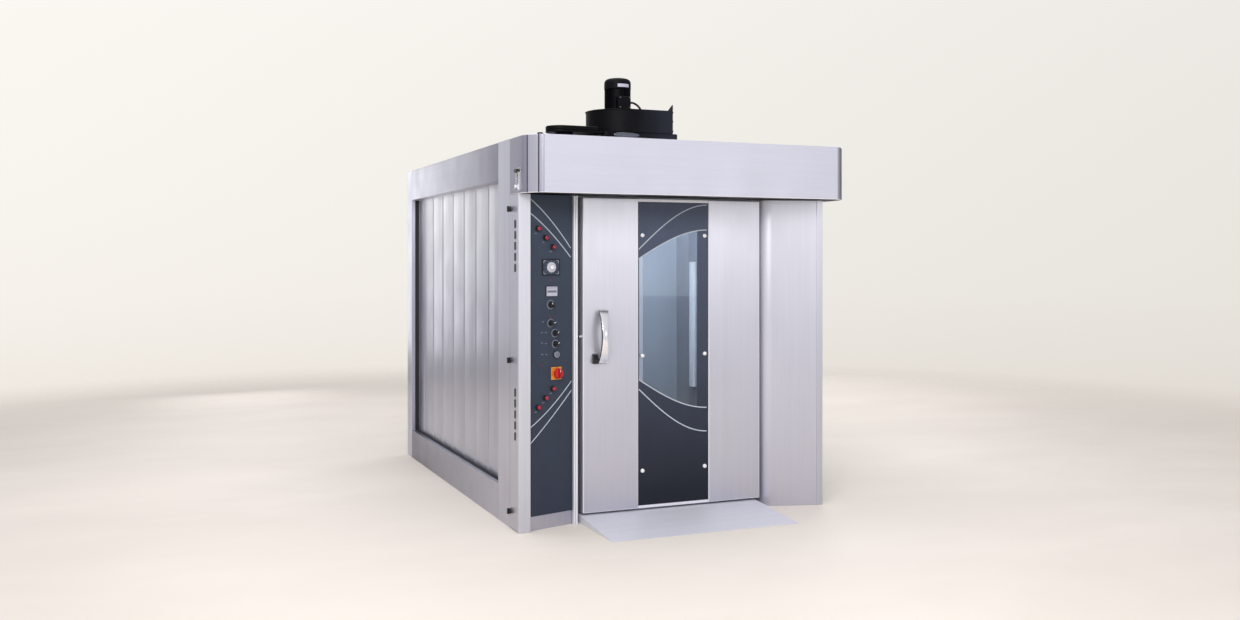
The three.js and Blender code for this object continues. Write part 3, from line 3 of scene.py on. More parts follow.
import bmesh
import bpy
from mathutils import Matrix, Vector


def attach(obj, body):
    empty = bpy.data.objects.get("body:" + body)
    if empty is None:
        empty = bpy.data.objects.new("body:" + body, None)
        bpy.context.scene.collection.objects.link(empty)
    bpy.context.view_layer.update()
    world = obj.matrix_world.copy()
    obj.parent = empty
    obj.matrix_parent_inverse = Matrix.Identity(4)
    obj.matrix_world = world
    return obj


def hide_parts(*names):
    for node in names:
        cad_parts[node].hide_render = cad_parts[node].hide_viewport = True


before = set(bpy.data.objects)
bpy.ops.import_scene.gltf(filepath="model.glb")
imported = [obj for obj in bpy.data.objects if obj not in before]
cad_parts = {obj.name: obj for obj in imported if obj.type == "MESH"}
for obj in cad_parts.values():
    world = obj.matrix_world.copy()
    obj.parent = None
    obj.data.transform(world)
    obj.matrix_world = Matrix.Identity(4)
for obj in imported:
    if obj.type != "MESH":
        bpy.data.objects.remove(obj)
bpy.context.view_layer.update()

scene = bpy.context.scene

# ---------------------------------------------------------------- sizes, in millimetres
# X runs right from the casing's left side, Y back from the front posts, Z up from the floor.
WIDTH, DEPTH, HEIGHT = 2060.0, 2960.0, 2300.0
UNDER_HOOD = 1967.0
FRONT_TOP = UNDER_HOOD - 0.3
SHEET = 2.0
PANEL_X, PANEL_Y, PANEL_END_X = 73.3, 22.0, 372.0
PANEL_ANGLE = math.atan2(88.0, 299.0)
PANEL_COS, PANEL_SIN = math.cos(PANEL_ANGLE), math.sin(PANEL_ANGLE)
PANEL_LENGTH = (PANEL_END_X - PANEL_X) / PANEL_COS
DOOR_LEFT, DOOR_RIGHT, DOOR_FACE, DOOR_BACK = 440.0, 1656.0, 110.0, 180.0
DOOR_LOW, DOOR_HIGH = 56.0, 1960.0
GLASS_LEFT, GLASS_RIGHT, GLASS_LOW, GLASS_HIGH = 805.0, 1287.0, 74.0, 1942.0
GLASS_FRONT = DOOR_FACE + 3.0
BLOWER_X, BLOWER_Y = 745.0, 300.0


def row(x, y, z):
    """A point in millimetres from the casing's front left corner, as metres in the part's frame."""
    return Vector(((x - WIDTH / 2) / 1000, (y - DEPTH / 2) / 1000, z / 1000))


def on_panel(s, out, z):
    """A point on the splayed control panel: along it, out of it toward the user, and up."""
    return row(PANEL_X + s * PANEL_COS + out * PANEL_SIN, PANEL_Y + s * PANEL_SIN - out * PANEL_COS, z)


def facing(x, z, turn=0.0):
    """Puts (across, up, out) about the control panel's point at x and z, turned in its plane."""
    s, c, k = (x - PANEL_X) / PANEL_COS, math.cos(turn), math.sin(turn)
    return lambda a, b, out: on_panel(s + a * c - b * k, out, z + a * k + b * c)


def spot(x, z, radius=0.0, angle=0.0):
    """A point on the control panel, at a radius and angle about the one at x and z."""
    return facing(x, z)(radius * math.cos(angle), radius * math.sin(angle), 0)


def on_glass(x, out, z):
    return row(x, GLASS_FRONT - 0.6 - out, z)


def on_blower(x, y, z):
    """A point about the blower's axis, with z from the roof."""
    return row(BLOWER_X + x, BLOWER_Y + y, HEIGHT + z)


LEFT, RIGHT, FRONT, BACK, UP = (-1, 0, 0), (1, 0, 0), (0, -1, 0), (0, 1, 0), (0, 0, 1)
OUT = on_panel(0, 1, 0) - on_panel(0, 0, 0)


# ---------------------------------------------------------------- materials
class Nodes:
    """Adds and links the nodes of one shader tree."""

    def __init__(self, tree):
        tree.nodes.clear()
        self.tree = tree

    def feed(self, socket, value):
        """Links a socket to another node's output, or sets its value."""
        if isinstance(value, bpy.types.NodeSocket):
            self.tree.links.new(value, socket)
        else:
            socket.default_value = value

    def add(self, kind, inputs=None, **settings):
        """A node with its settings, and what feeds its named or numbered inputs."""
        node = self.tree.nodes.new("ShaderNode" + kind)
        for key, value in settings.items():
            setattr(node, key, value)
        for key, value in (inputs or {}).items():
            self.feed(node.inputs[key], value)
        return node

    def remap(self, value, low, high, to_low=0.0, to_high=1.0, **settings):
        span = {"Value": value, "From Min": low, "From Max": high, "To Min": to_low, "To Max": to_high}
        return self.add("MapRange", span, **settings).outputs["Result"]

    def ramp(self, value, stops):
        """A colour ramp whose stops have a place and a colour or a grey."""
        node = self.add("ValToRGB", {"Fac": value})
        elements = node.color_ramp.elements
        while len(elements) < len(stops):
            elements.new(0.5)
        for element, (place, color) in zip(elements, stops):
            element.position = place
            element.color = (*(color if isinstance(color, tuple) else (color,) * 3), 1.0)
        return node.outputs["Color"]

    def dim(self, tone, value, stops, factor=1.0):
        """A tone times a ramp over a value."""
        inputs = {0: factor, 6: tone, 7: self.ramp(value, stops)}
        return self.add("Mix", inputs, data_type="RGBA", blend_type="MULTIPLY").outputs[2]

    def math(self, operation, a, b):
        return self.add("Math", {0: a, 1: b}, operation=operation).outputs[0]

    def toward(self, vector, direction):
        """How far a vector reaches in a direction."""
        return self.add("VectorMath", {0: vector, 1: direction}, operation="DOT_PRODUCT").outputs["Value"]

    def part(self, vector, index):
        return self.add("SeparateXYZ", {0: vector}).outputs[index]


class Material(Nodes):
    """A Principled shader with procedural nodes over object coordinates, in metres."""

    def __init__(self, name, **sockets):
        self.mat = bpy.data.materials.new(name)
        self.mat.use_nodes = True
        super().__init__(self.mat.node_tree)
        inputs = {key.replace("_", " "): value for key, value in sockets.items()}
        self.shader = self.add("BsdfPrincipled", inputs)
        self.add("OutputMaterial", {"Surface": self.shader.outputs[0]})
        self.coords = self.add("TexCoord").outputs["Object"]

    def noise(self, scale, detail=3.0, rough=0.55, distort=0.0):
        """Noise over the coordinates times a scale."""
        mapped = self.add("Mapping", {"Vector": self.coords, "Scale": scale}).outputs[0]
        inputs = {"Vector": mapped, "Scale": 1.0, "Detail": detail, "Roughness": rough, "Distortion": distort}
        return self.add("TexNoise", inputs).outputs["Fac"]

    def axis(self, index):
        return self.part(self.coords, index)

    def dress(self, color, rough, height=None, strength=0.0, distance=0.0002):
        """Feeds the shader its colour, its roughness and, where there is a height, its bump."""
        self.feed(self.shader.inputs["Base Color"], color)
        self.feed(self.shader.inputs["Roughness"], rough)
        if height is not None:
            bump = self.add("Bump", {"Strength": strength, "Distance": distance, "Height": height})
            self.feed(self.shader.inputs["Normal"], bump.outputs[0])
        return self.mat


def brushed(name, high, low, roughness=0.34, metallic=0.8, grain="z", streak=0.06, z=(0.1, 2.1), along=None,
            middle=None):
    """Brushed stainless sheet: fine grain, soft streaks, faint clouds and smudges, and painted shade that
    makes it darker toward the bottom.
    """
    m = Material(name, Metallic=metallic, Roughness=roughness)
    grains = m.noise([3.0 if axis == grain else 170.0 for axis in "xyz"], 1.0)
    streaks = m.noise([0.4 if axis == grain else 26.0 for axis in "xyz"], 2.0, 0.6)
    clouds = m.noise((1.3, 1.3, 1.0), 2.0)
    smudge = m.noise((5.5, 5.5, 3.5))
    middle = middle or tuple(a * 0.45 + b * 0.55 for a, b in zip(low, high))
    # painted shade: the tone by height is darker toward the bottom, as the light falls from above
    tone = m.ramp(m.remap(m.axis(2), *z), [(0.0, low), (0.55, middle), (1.0, high)])
    if along:
        tone = along(m, tone)
    tone = m.dim(tone, streaks, [(0.25, 1 - streak), (0.75, 1.0)])
    tone = m.dim(tone, clouds, [(0.3, (0.94, 0.94, 0.95)), (0.7, 1.0)], 0.6)
    tone = m.dim(tone, grains, [(0.3, 0.93), (0.7, 1.0)], 0.5)
    wiped = m.remap(smudge, 0.35, 0.75, roughness - 0.03, roughness + 0.07)
    rough = m.math("ADD", wiped, m.remap(grains, 0.0, 1.0, -0.03, 0.03))
    return m.dress(tone, rough, grains, 0.03)


def painted(name, high, low, roughness, specular, z=(0.1, 2.0), peel=0.03):
    """Painted or coated sheet with a faint orange peel, dust, and painted shade that makes it darker toward
    the bottom.
    """
    m = Material(name, Roughness=roughness, Specular_IOR_Level=specular)
    # painted shade: the tone by height is darker toward the bottom
    tone = m.ramp(m.remap(m.axis(2), *z), [(0.0, low), (1.0, high)])
    dust = m.noise((9, 9, 6), rough=0.6)
    rough = m.remap(dust, 0.3, 0.75, roughness - 0.04, roughness + 0.09)
    height = m.noise((120, 120, 120), 2.0) if peel else None
    return m.dress(m.dim(tone, dust, [(0.3, 0.86), (0.7, 1.0)], 0.7), rough, height, peel, 0.0004)


def plain(name, base, roughness=0.4, metallic=0.0, speck=0.08, scale=60.0, bump=0.05):
    """Moulded or turned material with a slight mottling and a fine surface."""
    m = Material(name, Metallic=metallic, Roughness=roughness)
    spots = m.noise((scale,) * 3, 4.0)
    color = m.ramp(spots, [(0.3, tuple(c * (1 - speck) for c in base)), (0.7, base)])
    rough = m.remap(spots, 0.25, 0.75, roughness - 0.05, roughness + 0.05)
    return m.dress(color, rough, m.noise((scale * 8,) * 3, 2.0), bump)


def black_paint():
    """Black paint with a painted sheen: a little paler and bluer toward the oven's right."""
    m = Material("black_paint", Roughness=0.48, Specular_IOR_Level=0.09)
    # painted sheen: paler and bluer toward the right
    tone = m.ramp(m.remap(m.axis(0), -0.45, 0.0), [
        (0.0, (0.0025, 0.0025, 0.0035)), (0.45, (0.005, 0.005, 0.007)), (1.0, (0.023, 0.026, 0.036))])
    dust = m.noise((14, 14, 9), 5.0, 0.6)
    color = m.dim(tone, dust, [(0.3, 0.7), (0.7, 1.0)], 0.8)
    return m.dress(color, m.remap(dust, 0.3, 0.75, 0.42, 0.58), m.noise((300, 300, 300), 2.0), 0.05, 0.0004)


def pane_glass(tint=(0.84, 0.91, 0.97), roughness=0.015):
    """Clear glass with a faint tint and smears."""
    m = Material("pane_glass", Roughness=roughness, Transmission_Weight=1.0, IOR=1.45, Specular_IOR_Level=0.3)
    smear = m.noise((6, 6, 4), 5.0, 0.6, 0.6)
    color = m.ramp(smear, [(0.3, tuple(c * 0.97 for c in tint)), (0.7, tint)])
    return m.dress(color, m.remap(smear, 0.35, 0.75, roughness, roughness + 0.03))


def by_depth(start, end, stops):
    """Paints shade on a sheet along the oven's depth, between two places in metres."""
    return lambda m, tone: m.dim(tone, m.remap(m.axis(1), start, end), stops)


def rib_highlights(m, tone, first=1.2177, pitch=0.3):
    """Paints a soft highlight on each rib of the cladding, brightest near its rear edge, and paints shade
    toward the front.
    """
    share = m.math("FRACT", m.math("MULTIPLY", m.math("ADD", m.axis(1), first), 1 / pitch), 0.0)
    highlighted = m.dim(tone, share, [(0.0, (0.89, 0.89, 0.90)), (0.35, (0.94, 0.94, 0.95)), (0.88, 1.0),
                                 (1.0, (0.89, 0.89, 0.90))])
    return by_depth(-1.1, 1.3, [(0.0, (0.84, 0.84, 0.85)), (1.0, 1.0)])(m, highlighted)


# painted shade: the fascia darkens toward the front, the rail toward the rear
shade_toward_front = by_depth(-1.1, 0.7, [(0.0, (0.44, 0.43, 0.47)), (0.5, 0.80), (1.0, 1.0)])
shade_toward_rear = by_depth(-1.2, 1.3, [(0.0, 1.0), (1.0, (0.38, 0.37, 0.41))])
HOOD_SPAN = (1.97, 2.3)

STEEL = brushed("steel_front", (0.96, 0.955, 1.0), (0.56, 0.555, 0.625), 0.33, 0.70, streak=0.035,
                middle=(0.73, 0.725, 0.79))
# a brighter copy of the steel for bevels, lips, ribs and rails: painted highlight
STEEL_HIGHLIGHT = brushed("steel_painted_highlight", (0.97, 0.97, 1.0), (0.86, 0.86, 0.92), 0.34, 0.3)
STEEL_POST = brushed("steel_post", (0.84, 0.84, 0.89), (0.60, 0.60, 0.66), 0.36, 0.6)
# a darker copy of the steel for the sides, the rear, the covers and the kick plate: painted shade
STEEL_SIDE_SHADED = brushed("steel_side_shaded", (0.70, 0.695, 0.79), (0.54, 0.535, 0.61), 0.32, streak=0.08)
# cladding: painted highlights on the ribs, painted shade toward the front and the bottom
STEEL_CLAD = brushed("steel_cladding", (0.98, 0.975, 1.0), (0.61, 0.61, 0.69), 0.32, streak=0.1,
                     along=rib_highlights, middle=(0.58, 0.575, 0.655))
STEEL_FASCIA = brushed("steel_fascia", (0.70, 0.695, 0.785), (0.70, 0.695, 0.785), grain="y",
                       along=shade_toward_front)
STEEL_RAIL = brushed("steel_rail", (0.56, 0.555, 0.63), (0.52, 0.515, 0.59), grain="y", along=shade_toward_rear)
STEEL_FLAT = brushed("steel_flat", (0.66, 0.655, 0.71), (0.58, 0.575, 0.63), 0.36, 0.75, "y")
STEEL_RAMP = brushed("steel_ramp", (0.82, 0.815, 0.885), (0.76, 0.755, 0.82), 0.46, 0.12, "x")
# a much darker copy of the chamber steel for its right wall: painted shade
STEEL_WALL_SHADED = brushed("steel_right_wall_shaded", (0.15, 0.155, 0.18), (0.10, 0.105, 0.125), 0.42, 0.5)
STEEL_INNER = brushed("steel_inner", (0.42, 0.44, 0.47), (0.28, 0.30, 0.33), 0.38, 0.6)
HOOD = brushed("steel_hood", (0.80, 0.79, 0.875), (0.74, 0.735, 0.815), 0.35, 0.7, "x", 0.04, HOOD_SPAN)
# darker copies of the hood steel for its sides, corners and left flank: painted shade
HOOD_SHADED = brushed("steel_hood_shaded", (0.62, 0.61, 0.70), (0.58, 0.57, 0.66), 0.34, 0.7, z=HOOD_SPAN)
HOOD_DEEP_SHADE = brushed("steel_hood_deep_shade", (0.40, 0.39, 0.47), (0.37, 0.36, 0.44), 0.36, 0.6, z=HOOD_SPAN)
# near-black for the hood's corner grooves: painted shade
HOOD_GROOVE_SHADE = plain("hood_groove", (0.03, 0.03, 0.04), 0.5)
SLATE = painted("slate_panel", (0.050, 0.066, 0.098), (0.026, 0.034, 0.058), 0.42, 0.3)
ENAMEL = painted("slate_enamel", (0.092, 0.110, 0.165), (0.012, 0.015, 0.024), 0.36, 0.2, (0.15, 1.9), 0.0)
LINE = plain("pale_line", (0.50, 0.55, 0.61))
BLACK = black_paint()
# a paler metallic grey that paints a sheen on a black part
PAINTED_SHEEN_GREY = plain("painted_sheen_grey", (0.13, 0.14, 0.17), 0.25, 0.7)
BLACK_MATTE = plain("black_matte", (0.008, 0.008, 0.010), 0.6)
BLACK_PLASTIC = plain("black_plastic", (0.010, 0.010, 0.012), 0.32, scale=120.0)
# near-black for strips and plates in gaps, slots, vents and openings: painted shade
GAP_SHADE = plain("painted_gap_shade", (0.012, 0.012, 0.016), 0.75)
CHROME = plain("chrome", (0.93, 0.93, 0.95), 0.2, 0.85, 0.04, 12.0)
# a dark copy of the chrome for the handle strap's sides and back: painted shade
CHROME_SHADED = plain("chrome_painted_shade", (0.05, 0.05, 0.06), 0.3, 0.6, scale=12.0)
CHROME_DARK = plain("chrome_dark", (0.20, 0.20, 0.235), 0.22, 0.9, scale=12.0)
STUD = plain("stud_cap", (0.93, 0.93, 0.95), 0.22, 0.35, 0.03)
DARK_STEEL = plain("dark_steel", (0.10, 0.10, 0.11), 0.46, 0.8, scale=30.0)
CAST = plain("cast_iron", (0.06, 0.06, 0.065), 0.72, 0.4, 0.3, 45.0, 0.4)
SILICONE = plain("silicone", (0.03, 0.03, 0.033), 0.7)
RED_LENS = plain("red_lens", (0.38, 0.022, 0.05), 0.2, speck=0.15)
RED_PLASTIC = plain("red_plastic", (0.56, 0.012, 0.012), 0.3)
RED_DARK = plain("red_dark", (0.30, 0.008, 0.01), 0.3)
ORANGE = plain("orange_plate", (0.85, 0.36, 0.03))
WHITE = plain("white_plastic", (0.88, 0.88, 0.92), 0.3)
PALE_GREY = plain("pale_grey", (0.52, 0.52, 0.62), 0.35)
BUTTON_GREY = plain("button_grey", (0.27, 0.28, 0.34), 0.35)
DIAL_GREY = plain("dial_grey", (0.66, 0.66, 0.70), 0.32)
MID_GREY = plain("mid_grey", (0.17, 0.18, 0.23), 0.45)
LAMP = plain("lamp_lens", (0.40, 0.39, 0.39), 0.3)
PANE = pane_glass()


# ---------------------------------------------------------------- outlines, in millimetres
def rect(a0, a1, b0, b1):
    return [(a0, b0), (a1, b0), (a1, b1), (a0, b1)]


def rod(radius, low, high):
    """The profile of a plain round bar."""
    return [(0, low), (radius, low), (radius, high), (0, high)]


def circle(x, y, radius, steps=32, start=0.0, sweep=2 * math.pi):
    """A circle, or an arc with both its ends."""
    count = steps if sweep >= 2 * math.pi else steps + 1
    angles = [start + sweep * i / steps for i in range(count)]
    return [(x + radius * math.cos(t), y + radius * math.sin(t)) for t in angles]


def rounded(path, radius, steps=4):
    """An open path with its corners turned into short arcs."""
    out = [path[0]]
    for before, corner, after in zip(path, path[1:], path[2:]):
        corner = Vector(corner)
        a, b = Vector(before) - corner, Vector(after) - corner
        turn = math.pi - a.angle(b)
        reach = min(radius * math.tan(turn / 2), a.length * 0.45, b.length * 0.45)
        p, q = corner + a.normalized() * reach, corner + b.normalized() * reach
        for i in range(steps + 1):
            t = i / steps
            out.append(tuple(p * (1 - t) ** 2 + corner * (2 * t * (1 - t)) + q * t * t))
    return out + [path[-1]]


def folded(path, thickness=SHEET):
    """The outline of a sheet folded along a path, on the path's left side."""
    spans = [(Vector(b) - Vector(a)).normalized() for a, b in zip(path, path[1:])]
    inner = []
    for point, before, after in zip(path, spans[:1] + spans, spans + spans[-1:]):
        share = thickness / (1 + before.dot(after))
        inner.append((point[0] - (before.y + after.y) * share, point[1] + (before.x + after.x) * share))
    return list(path) + inner[::-1]


# ---------------------------------------------------------------- mesh helpers
def to_point(axis, a, b, c):
    """A point from an outline's two coordinates and the one along the axis."""
    return {"z": row(a, b, c), "y": row(a, c, b), "x": row(c, a, b)}[axis]


def around(centre, side, other, radius, steps):
    """Points of a circle about a centre, from one direction toward another."""
    return [centre + (side * math.cos(t) + other * math.sin(t)) * (radius / 1000)
            for t in (2 * math.pi * i / steps for i in range(steps))]


class Shape:
    """The mesh of one piece while it is built; what adds to it gives the shape back."""

    def __init__(self):
        self.bm = bmesh.new()

    def ring(self, points):
        return [self.bm.verts.new(point) for point in points]

    def face(self, corners, index=0):
        self.bm.faces.new(corners).material_index = index

    def strip(self, rings, closed=True, index=0):
        """Faces between each ring of vertices and the next; a ring may be a single vertex."""
        for k, (a, b) in enumerate(zip(rings, rings[1:])):
            count = max(len(a), len(b))
            for i in range(count if closed else count - 1):
                j = (i + 1) % count
                if len(a) == 1:
                    corners = (a[0], b[i], b[j])
                elif len(b) == 1:
                    corners = (a[i], a[j], b[0])
                else:
                    corners = (a[i], a[j], b[j], b[i])
                self.face(corners, index(k, i) if callable(index) else index)
        return self

    def prism(self, outline, low, high, axis="z", place=None, index=0):
        """A closed outline carried along an axis; outline is (x, y), (x, z) or (y, z)."""
        put = place or (lambda a, b, c: to_point(axis, a, b, c))
        rings = [self.ring([put(a, b, c) for a, b in outline]) for c in (low, high)]
        for ring in rings:
            self.face(ring, index)
        return self.strip(rings, index=index)

    def block(self, x0, x1, y0, y1, z0, z1, place=row, index=0):
        return self.prism(rect(x0, x1, y0, y1), z0, z1, place=place, index=index)

    def tile(self, x, z, wide, high, low, top, index=0):
        """A block on the control panel, centred at x and z, between two heights out of it."""
        outline = rect(-wide / 2, wide / 2, -high / 2, high / 2)
        return self.prism(outline, low, top, place=facing(x, z), index=index)

    def turned(self, profile, centre, axis=OUT, steps=32, index=0):
        """A profile of (radius, along) turned about an axis through a point."""
        axis = Vector(axis).normalized()
        side = axis.orthogonal().normalized()
        rings = []
        for radius, along in profile:
            middle = centre + axis * (along / 1000)
            points = around(middle, side, axis.cross(side), radius, steps) if radius else [middle]
            rings.append(self.ring(points))
        return self.strip(rings, index=index)

    def tube(self, points, radius, steps):
        """A round bar along points, closed at both ends."""
        normal = (points[1] - points[0]).normalized().orthogonal()
        rings = []
        for before, point, after in zip(points[:1] + points, points, points[1:] + points[-1:]):
            direction = (after - before).normalized()
            normal = (normal - direction * normal.dot(direction)).normalized()
            rings.append(self.ring(around(point, normal, direction.cross(normal), radius, steps)))
        self.strip(rings)
        for ring in (rings[0], rings[-1]):
            self.face(ring)
        return self

    def thing(self, name, materials):
        """The shape as a linked object with its materials."""
        mesh = bpy.data.meshes.new(name)
        self.bm.to_mesh(mesh)
        self.bm.free()
        for material in materials if isinstance(materials, list) else [materials]:
            mesh.materials.append(material)
        obj = bpy.data.objects.new(name, mesh)
        scene.collection.objects.link(obj)
        return obj

    def piece(self, name, materials, body="root", slot=None, replaces=(), bevel=0.0, segments=2, smooth=32.0,
              edge_index=-1):
        """Bevels and shades the shape and makes it a piece of its body."""
        bm = self.bm
        bmesh.ops.remove_doubles(bm, verts=bm.verts, dist=2e-6)
        bmesh.ops.recalc_face_normals(bm, faces=bm.faces)
        if bevel:
            sharp = [edge for edge in bm.edges if edge.calc_face_angle(0.0) > math.radians(30)]
            bmesh.ops.bevel(bm, geom=sharp, offset=bevel / 1000, segments=segments, profile=0.5,
                            affect="EDGES", clamp_overlap=True, material=edge_index)
        for face in bm.faces:
            face.smooth = True
        for edge in bm.edges:
            edge.smooth = edge.calc_face_angle(0.0) <= math.radians(smooth)
        obj = self.thing(name, materials)
        obj.modifiers.new("shading", "WEIGHTED_NORMAL").keep_sharp = True
        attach(obj, body)
        if replaces:
            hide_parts(*replaces)
        return obj


def sheet(name, path, low, high, material, axis="z", radius=4.0, flip=False, **more):
    """Folded sheet metal with rounded folds, or its mirror image at the right."""
    outline = folded(rounded(path, radius))
    if flip:
        outline = [(WIDTH - a, b) for a, b in outline]
    return Shape().prism(outline, low, high, axis).piece(name, material, **more)


def filled(name, outline, holes, low, high, axis, material, **more):
    """A flat plate with holes."""
    shape = Shape()
    bm = shape.bm
    edges = []
    for loop in (outline, *holes):
        verts = shape.ring([to_point(axis, a, b, low) for a, b in loop])
        edges += [bm.edges.new(ends) for ends in zip(verts, verts[1:] + verts[:1])]
    bmesh.ops.triangle_fill(bm, edges=edges, use_beauty=True, use_dissolve=True)
    grown = bmesh.ops.extrude_face_region(bm, geom=bm.faces[:])["geom"]
    shift = to_point(axis, 0, 0, high) - to_point(axis, 0, 0, low)
    bmesh.ops.translate(bm, verts=[v for v in grown if isinstance(v, bmesh.types.BMVert)], vec=shift)
    return shape.piece(name, material, **more)


def ribbon(name, points, width, lift, put, body):
    """A thin raised line along points (a, z) on a face; put places (a, out, z)."""
    shape = Shape()
    rows = []
    for before, (a, z), after in zip(points[:1] + points, points, points[1:] + points[-1:]):
        direction = (Vector(after) - Vector(before)).normalized()
        n = Vector((-direction.y, direction.x)) * (width / 2)
        rows.append(shape.ring([put(a + n.x * k, out, z + n.y * k)
                                for k, out in ((-1, 0.05), (-0.8, lift), (0.8, lift), (1, 0.05))]))
    return shape.strip(rows, closed=False).piece(name, LINE, body=body)


WASHER = [(0, 0), (1.5, 0), (1.5, 0.2), (1, 0.25), (0, 0.25)]
BOLT_HEAD = [(0, 0.25), (1, 0.25), (1, 0.75), (0.82, 0.95), (0, 0.95)]


def bolts(name, points, axis, radius, material, sides=6):
    """Bolt heads on washers at points, facing along an axis."""
    shape = Shape()
    for point in points:
        for profile, steps in ((WASHER, 20), (BOLT_HEAD, sides)):
            shape.turned([(radius * r, radius * h) for r, h in profile], point, axis, steps)
    return shape.piece(name, material)


# ---------------------------------------------------------------- camera, floor and light
lens = bpy.data.cameras.new("camera")
lens.sensor_width = 36.0
lens.lens = 33.21
lens.shift_y = -0.0399
lens.clip_end = 100.0
camera = bpy.data.objects.new("camera", lens)
camera.location = (-3.056, -7.802, 1.580)
camera.rotation_euler = (math.radians(90), 0, math.radians(-22.83))
scene.collection.objects.link(camera)
scene.camera = camera
scene.view_settings.view_transform = "Standard"


def floor():
    """A pale floor that fades out far from the oven."""
    m = Material("floor_pale")
    clouds = m.noise((0.5, 0.9, 1), 4.0, 0.6, 0.3)
    pale = m.ramp(clouds, [(0.25, (0.775, 0.71, 0.635)), (0.75, (0.86, 0.795, 0.715))])
    away = m.add("VectorMath", {0: m.coords}, operation="LENGTH").outputs["Value"]
    m.dress(m.dim(pale, m.remap(away, 3.0, 7.0), [(0.0, 1.0), (1.0, (0.95, 0.945, 0.94))]), 0.7)
    fade = m.remap(away, 5.2, 9.8, 1.0, 0.0, interpolation_type="SMOOTHSTEP")
    m.feed(m.shader.inputs["Alpha"], fade)
    shape = Shape()
    rings = [shape.ring([(0, 0, 0)])]
    for radius in (4.0, 8.0, 10.0, 12.0, 14.0):
        rings.append(shape.ring([(x, y, 0) for x, y in circle(0, 0, radius, 96)]))
    obj = shape.strip(rings).thing("floor", m.mat)
    obj.location.z = -0.0005


def studio():
    """Soft light from all round, and the plain pale backdrop that the camera sees."""
    world = bpy.data.worlds.new("studio")
    scene.world = world
    world.use_nodes = True
    n = Nodes(world.node_tree)
    view = n.add("TexCoord").outputs["Generated"]
    # the light is strongest from above the front left
    strength = n.remap(n.toward(view, (-0.25, -0.75, 0.6)), -0.8, 0.9, 0.27, 0.74)
    light = n.add("Background", {"Color": (0.93, 0.94, 1.0, 1), "Strength": strength})
    # the backdrop is a little darker at the floor's end, and painted shade dims it from the left to the right
    tone = n.ramp(n.remap(n.part(view, 2), -1.0, 1.0), [
        (0.0, (0.77, 0.70, 0.62)), (0.40, (0.77, 0.70, 0.625)), (0.44, (0.80, 0.75, 0.685)),
        (0.485, (0.865, 0.83, 0.78)), (0.62, (0.915, 0.89, 0.85))])
    backdrop_shade = n.remap(n.toward(view, (0.9217, -0.388, 0.0)), -0.5, 0.5, 1.07, 0.93)
    seen = n.add("Background", {"Color": tone, "Strength": backdrop_shade})
    ray = n.add("LightPath").outputs["Is Camera Ray"]
    mixed = n.add("MixShader", {0: ray, 1: light.outputs[0], 2: seen.outputs[0]})
    n.add("OutputWorld", {"Surface": mixed.outputs[0]})


floor()
studio()

# name, place, target, width, height, power, colour
LIGHTS = (
    ("key_front", (-4.2, -8.0, 5.4), (0.0, -1.2, 1.0), 4.0, 3.2, 350, (1.0, 0.99, 1.0)),
    ("sheen_front", (3.4, -8.8, 2.0), (0.3, -1.5, 1.6), 4.6, 1.8, 20, (0.97, 0.97, 1.0)),
    ("card_left_rear", (-2.05, 6.6, 2.1), (-1.03, 0.8, 1.9), 1.6, 3.4, 28, (1.0, 1.0, 1.0)),
    ("top", (-0.6, -0.5, 6.4), (0.0, -0.2, 2.0), 5.0, 5.0, 200, (1.0, 0.99, 0.98)),
    ("rear_right", (5.5, 5.5, 3.6), (0.8, 1.0, 1.2), 3.0, 3.0, 120, (1.0, 0.99, 0.97)),
    ("chamber", (-0.1, -0.75, 1.90), (0.05, 0.1, 0.6), 0.7, 0.5, 51, (0.88, 0.91, 1.0)),
)
for name, place, target, wide, tall, power, color in LIGHTS:
    data = bpy.data.lights.new(name, "AREA")
    data.shape, data.size, data.size_y, data.energy, data.color = "RECTANGLE", wide, tall, power, color
    lamp = bpy.data.objects.new(name, data)
    lamp.location = place
    lamp.rotation_euler = (Vector(target) - Vector(place)).to_track_quat("-Z", "Y").to_euler()
    lamp.visible_camera = False
    scene.collection.objects.link(lamp)

# ---------------------------------------------------------------- materials of the CAD pieces that stay
KEPT = (
    (STEEL_INNER, "chamber_floor chamber_left_wall air_duct_panel chamber_ceiling rear_partition"),
    (STEEL_INNER, "door_portal turntable"),
    # the chamber's right wall, the right front cover and the kick plate take darker steel copies: painted
    # shade
    (STEEL_WALL_SHADED, "chamber_right_wall"),
    (STEEL_SIDE_SHADED, "right_front_cover kick_plate"),
    (STEEL_FLAT, "roof_panel"),
    (STEEL_RAMP, "entry_ramp"),
    (BLACK_MATTE, "hood_baffle circulation_motor drive_gearmotor"),
    (DARK_STEEL, "base_pan drive_sprocket circulation_fan blower_wheel"),
    (CAST, "drive_chain heat_exchanger steam_cascade"),
    (CHROME, "latch_bolt"),
    (SILICONE, "door_gasket"),
    (PANE, "door_inner_glass"),
    (LAMP, "chamber_lamp"),
)
for material, names in KEPT:
    for name in names.split():
        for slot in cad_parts[name].material_slots:
            slot.material = material

# ---------------------------------------------------------------- hood
HOOD_RIGHT = WIDTH + 92.0
GROOVE = 4.0


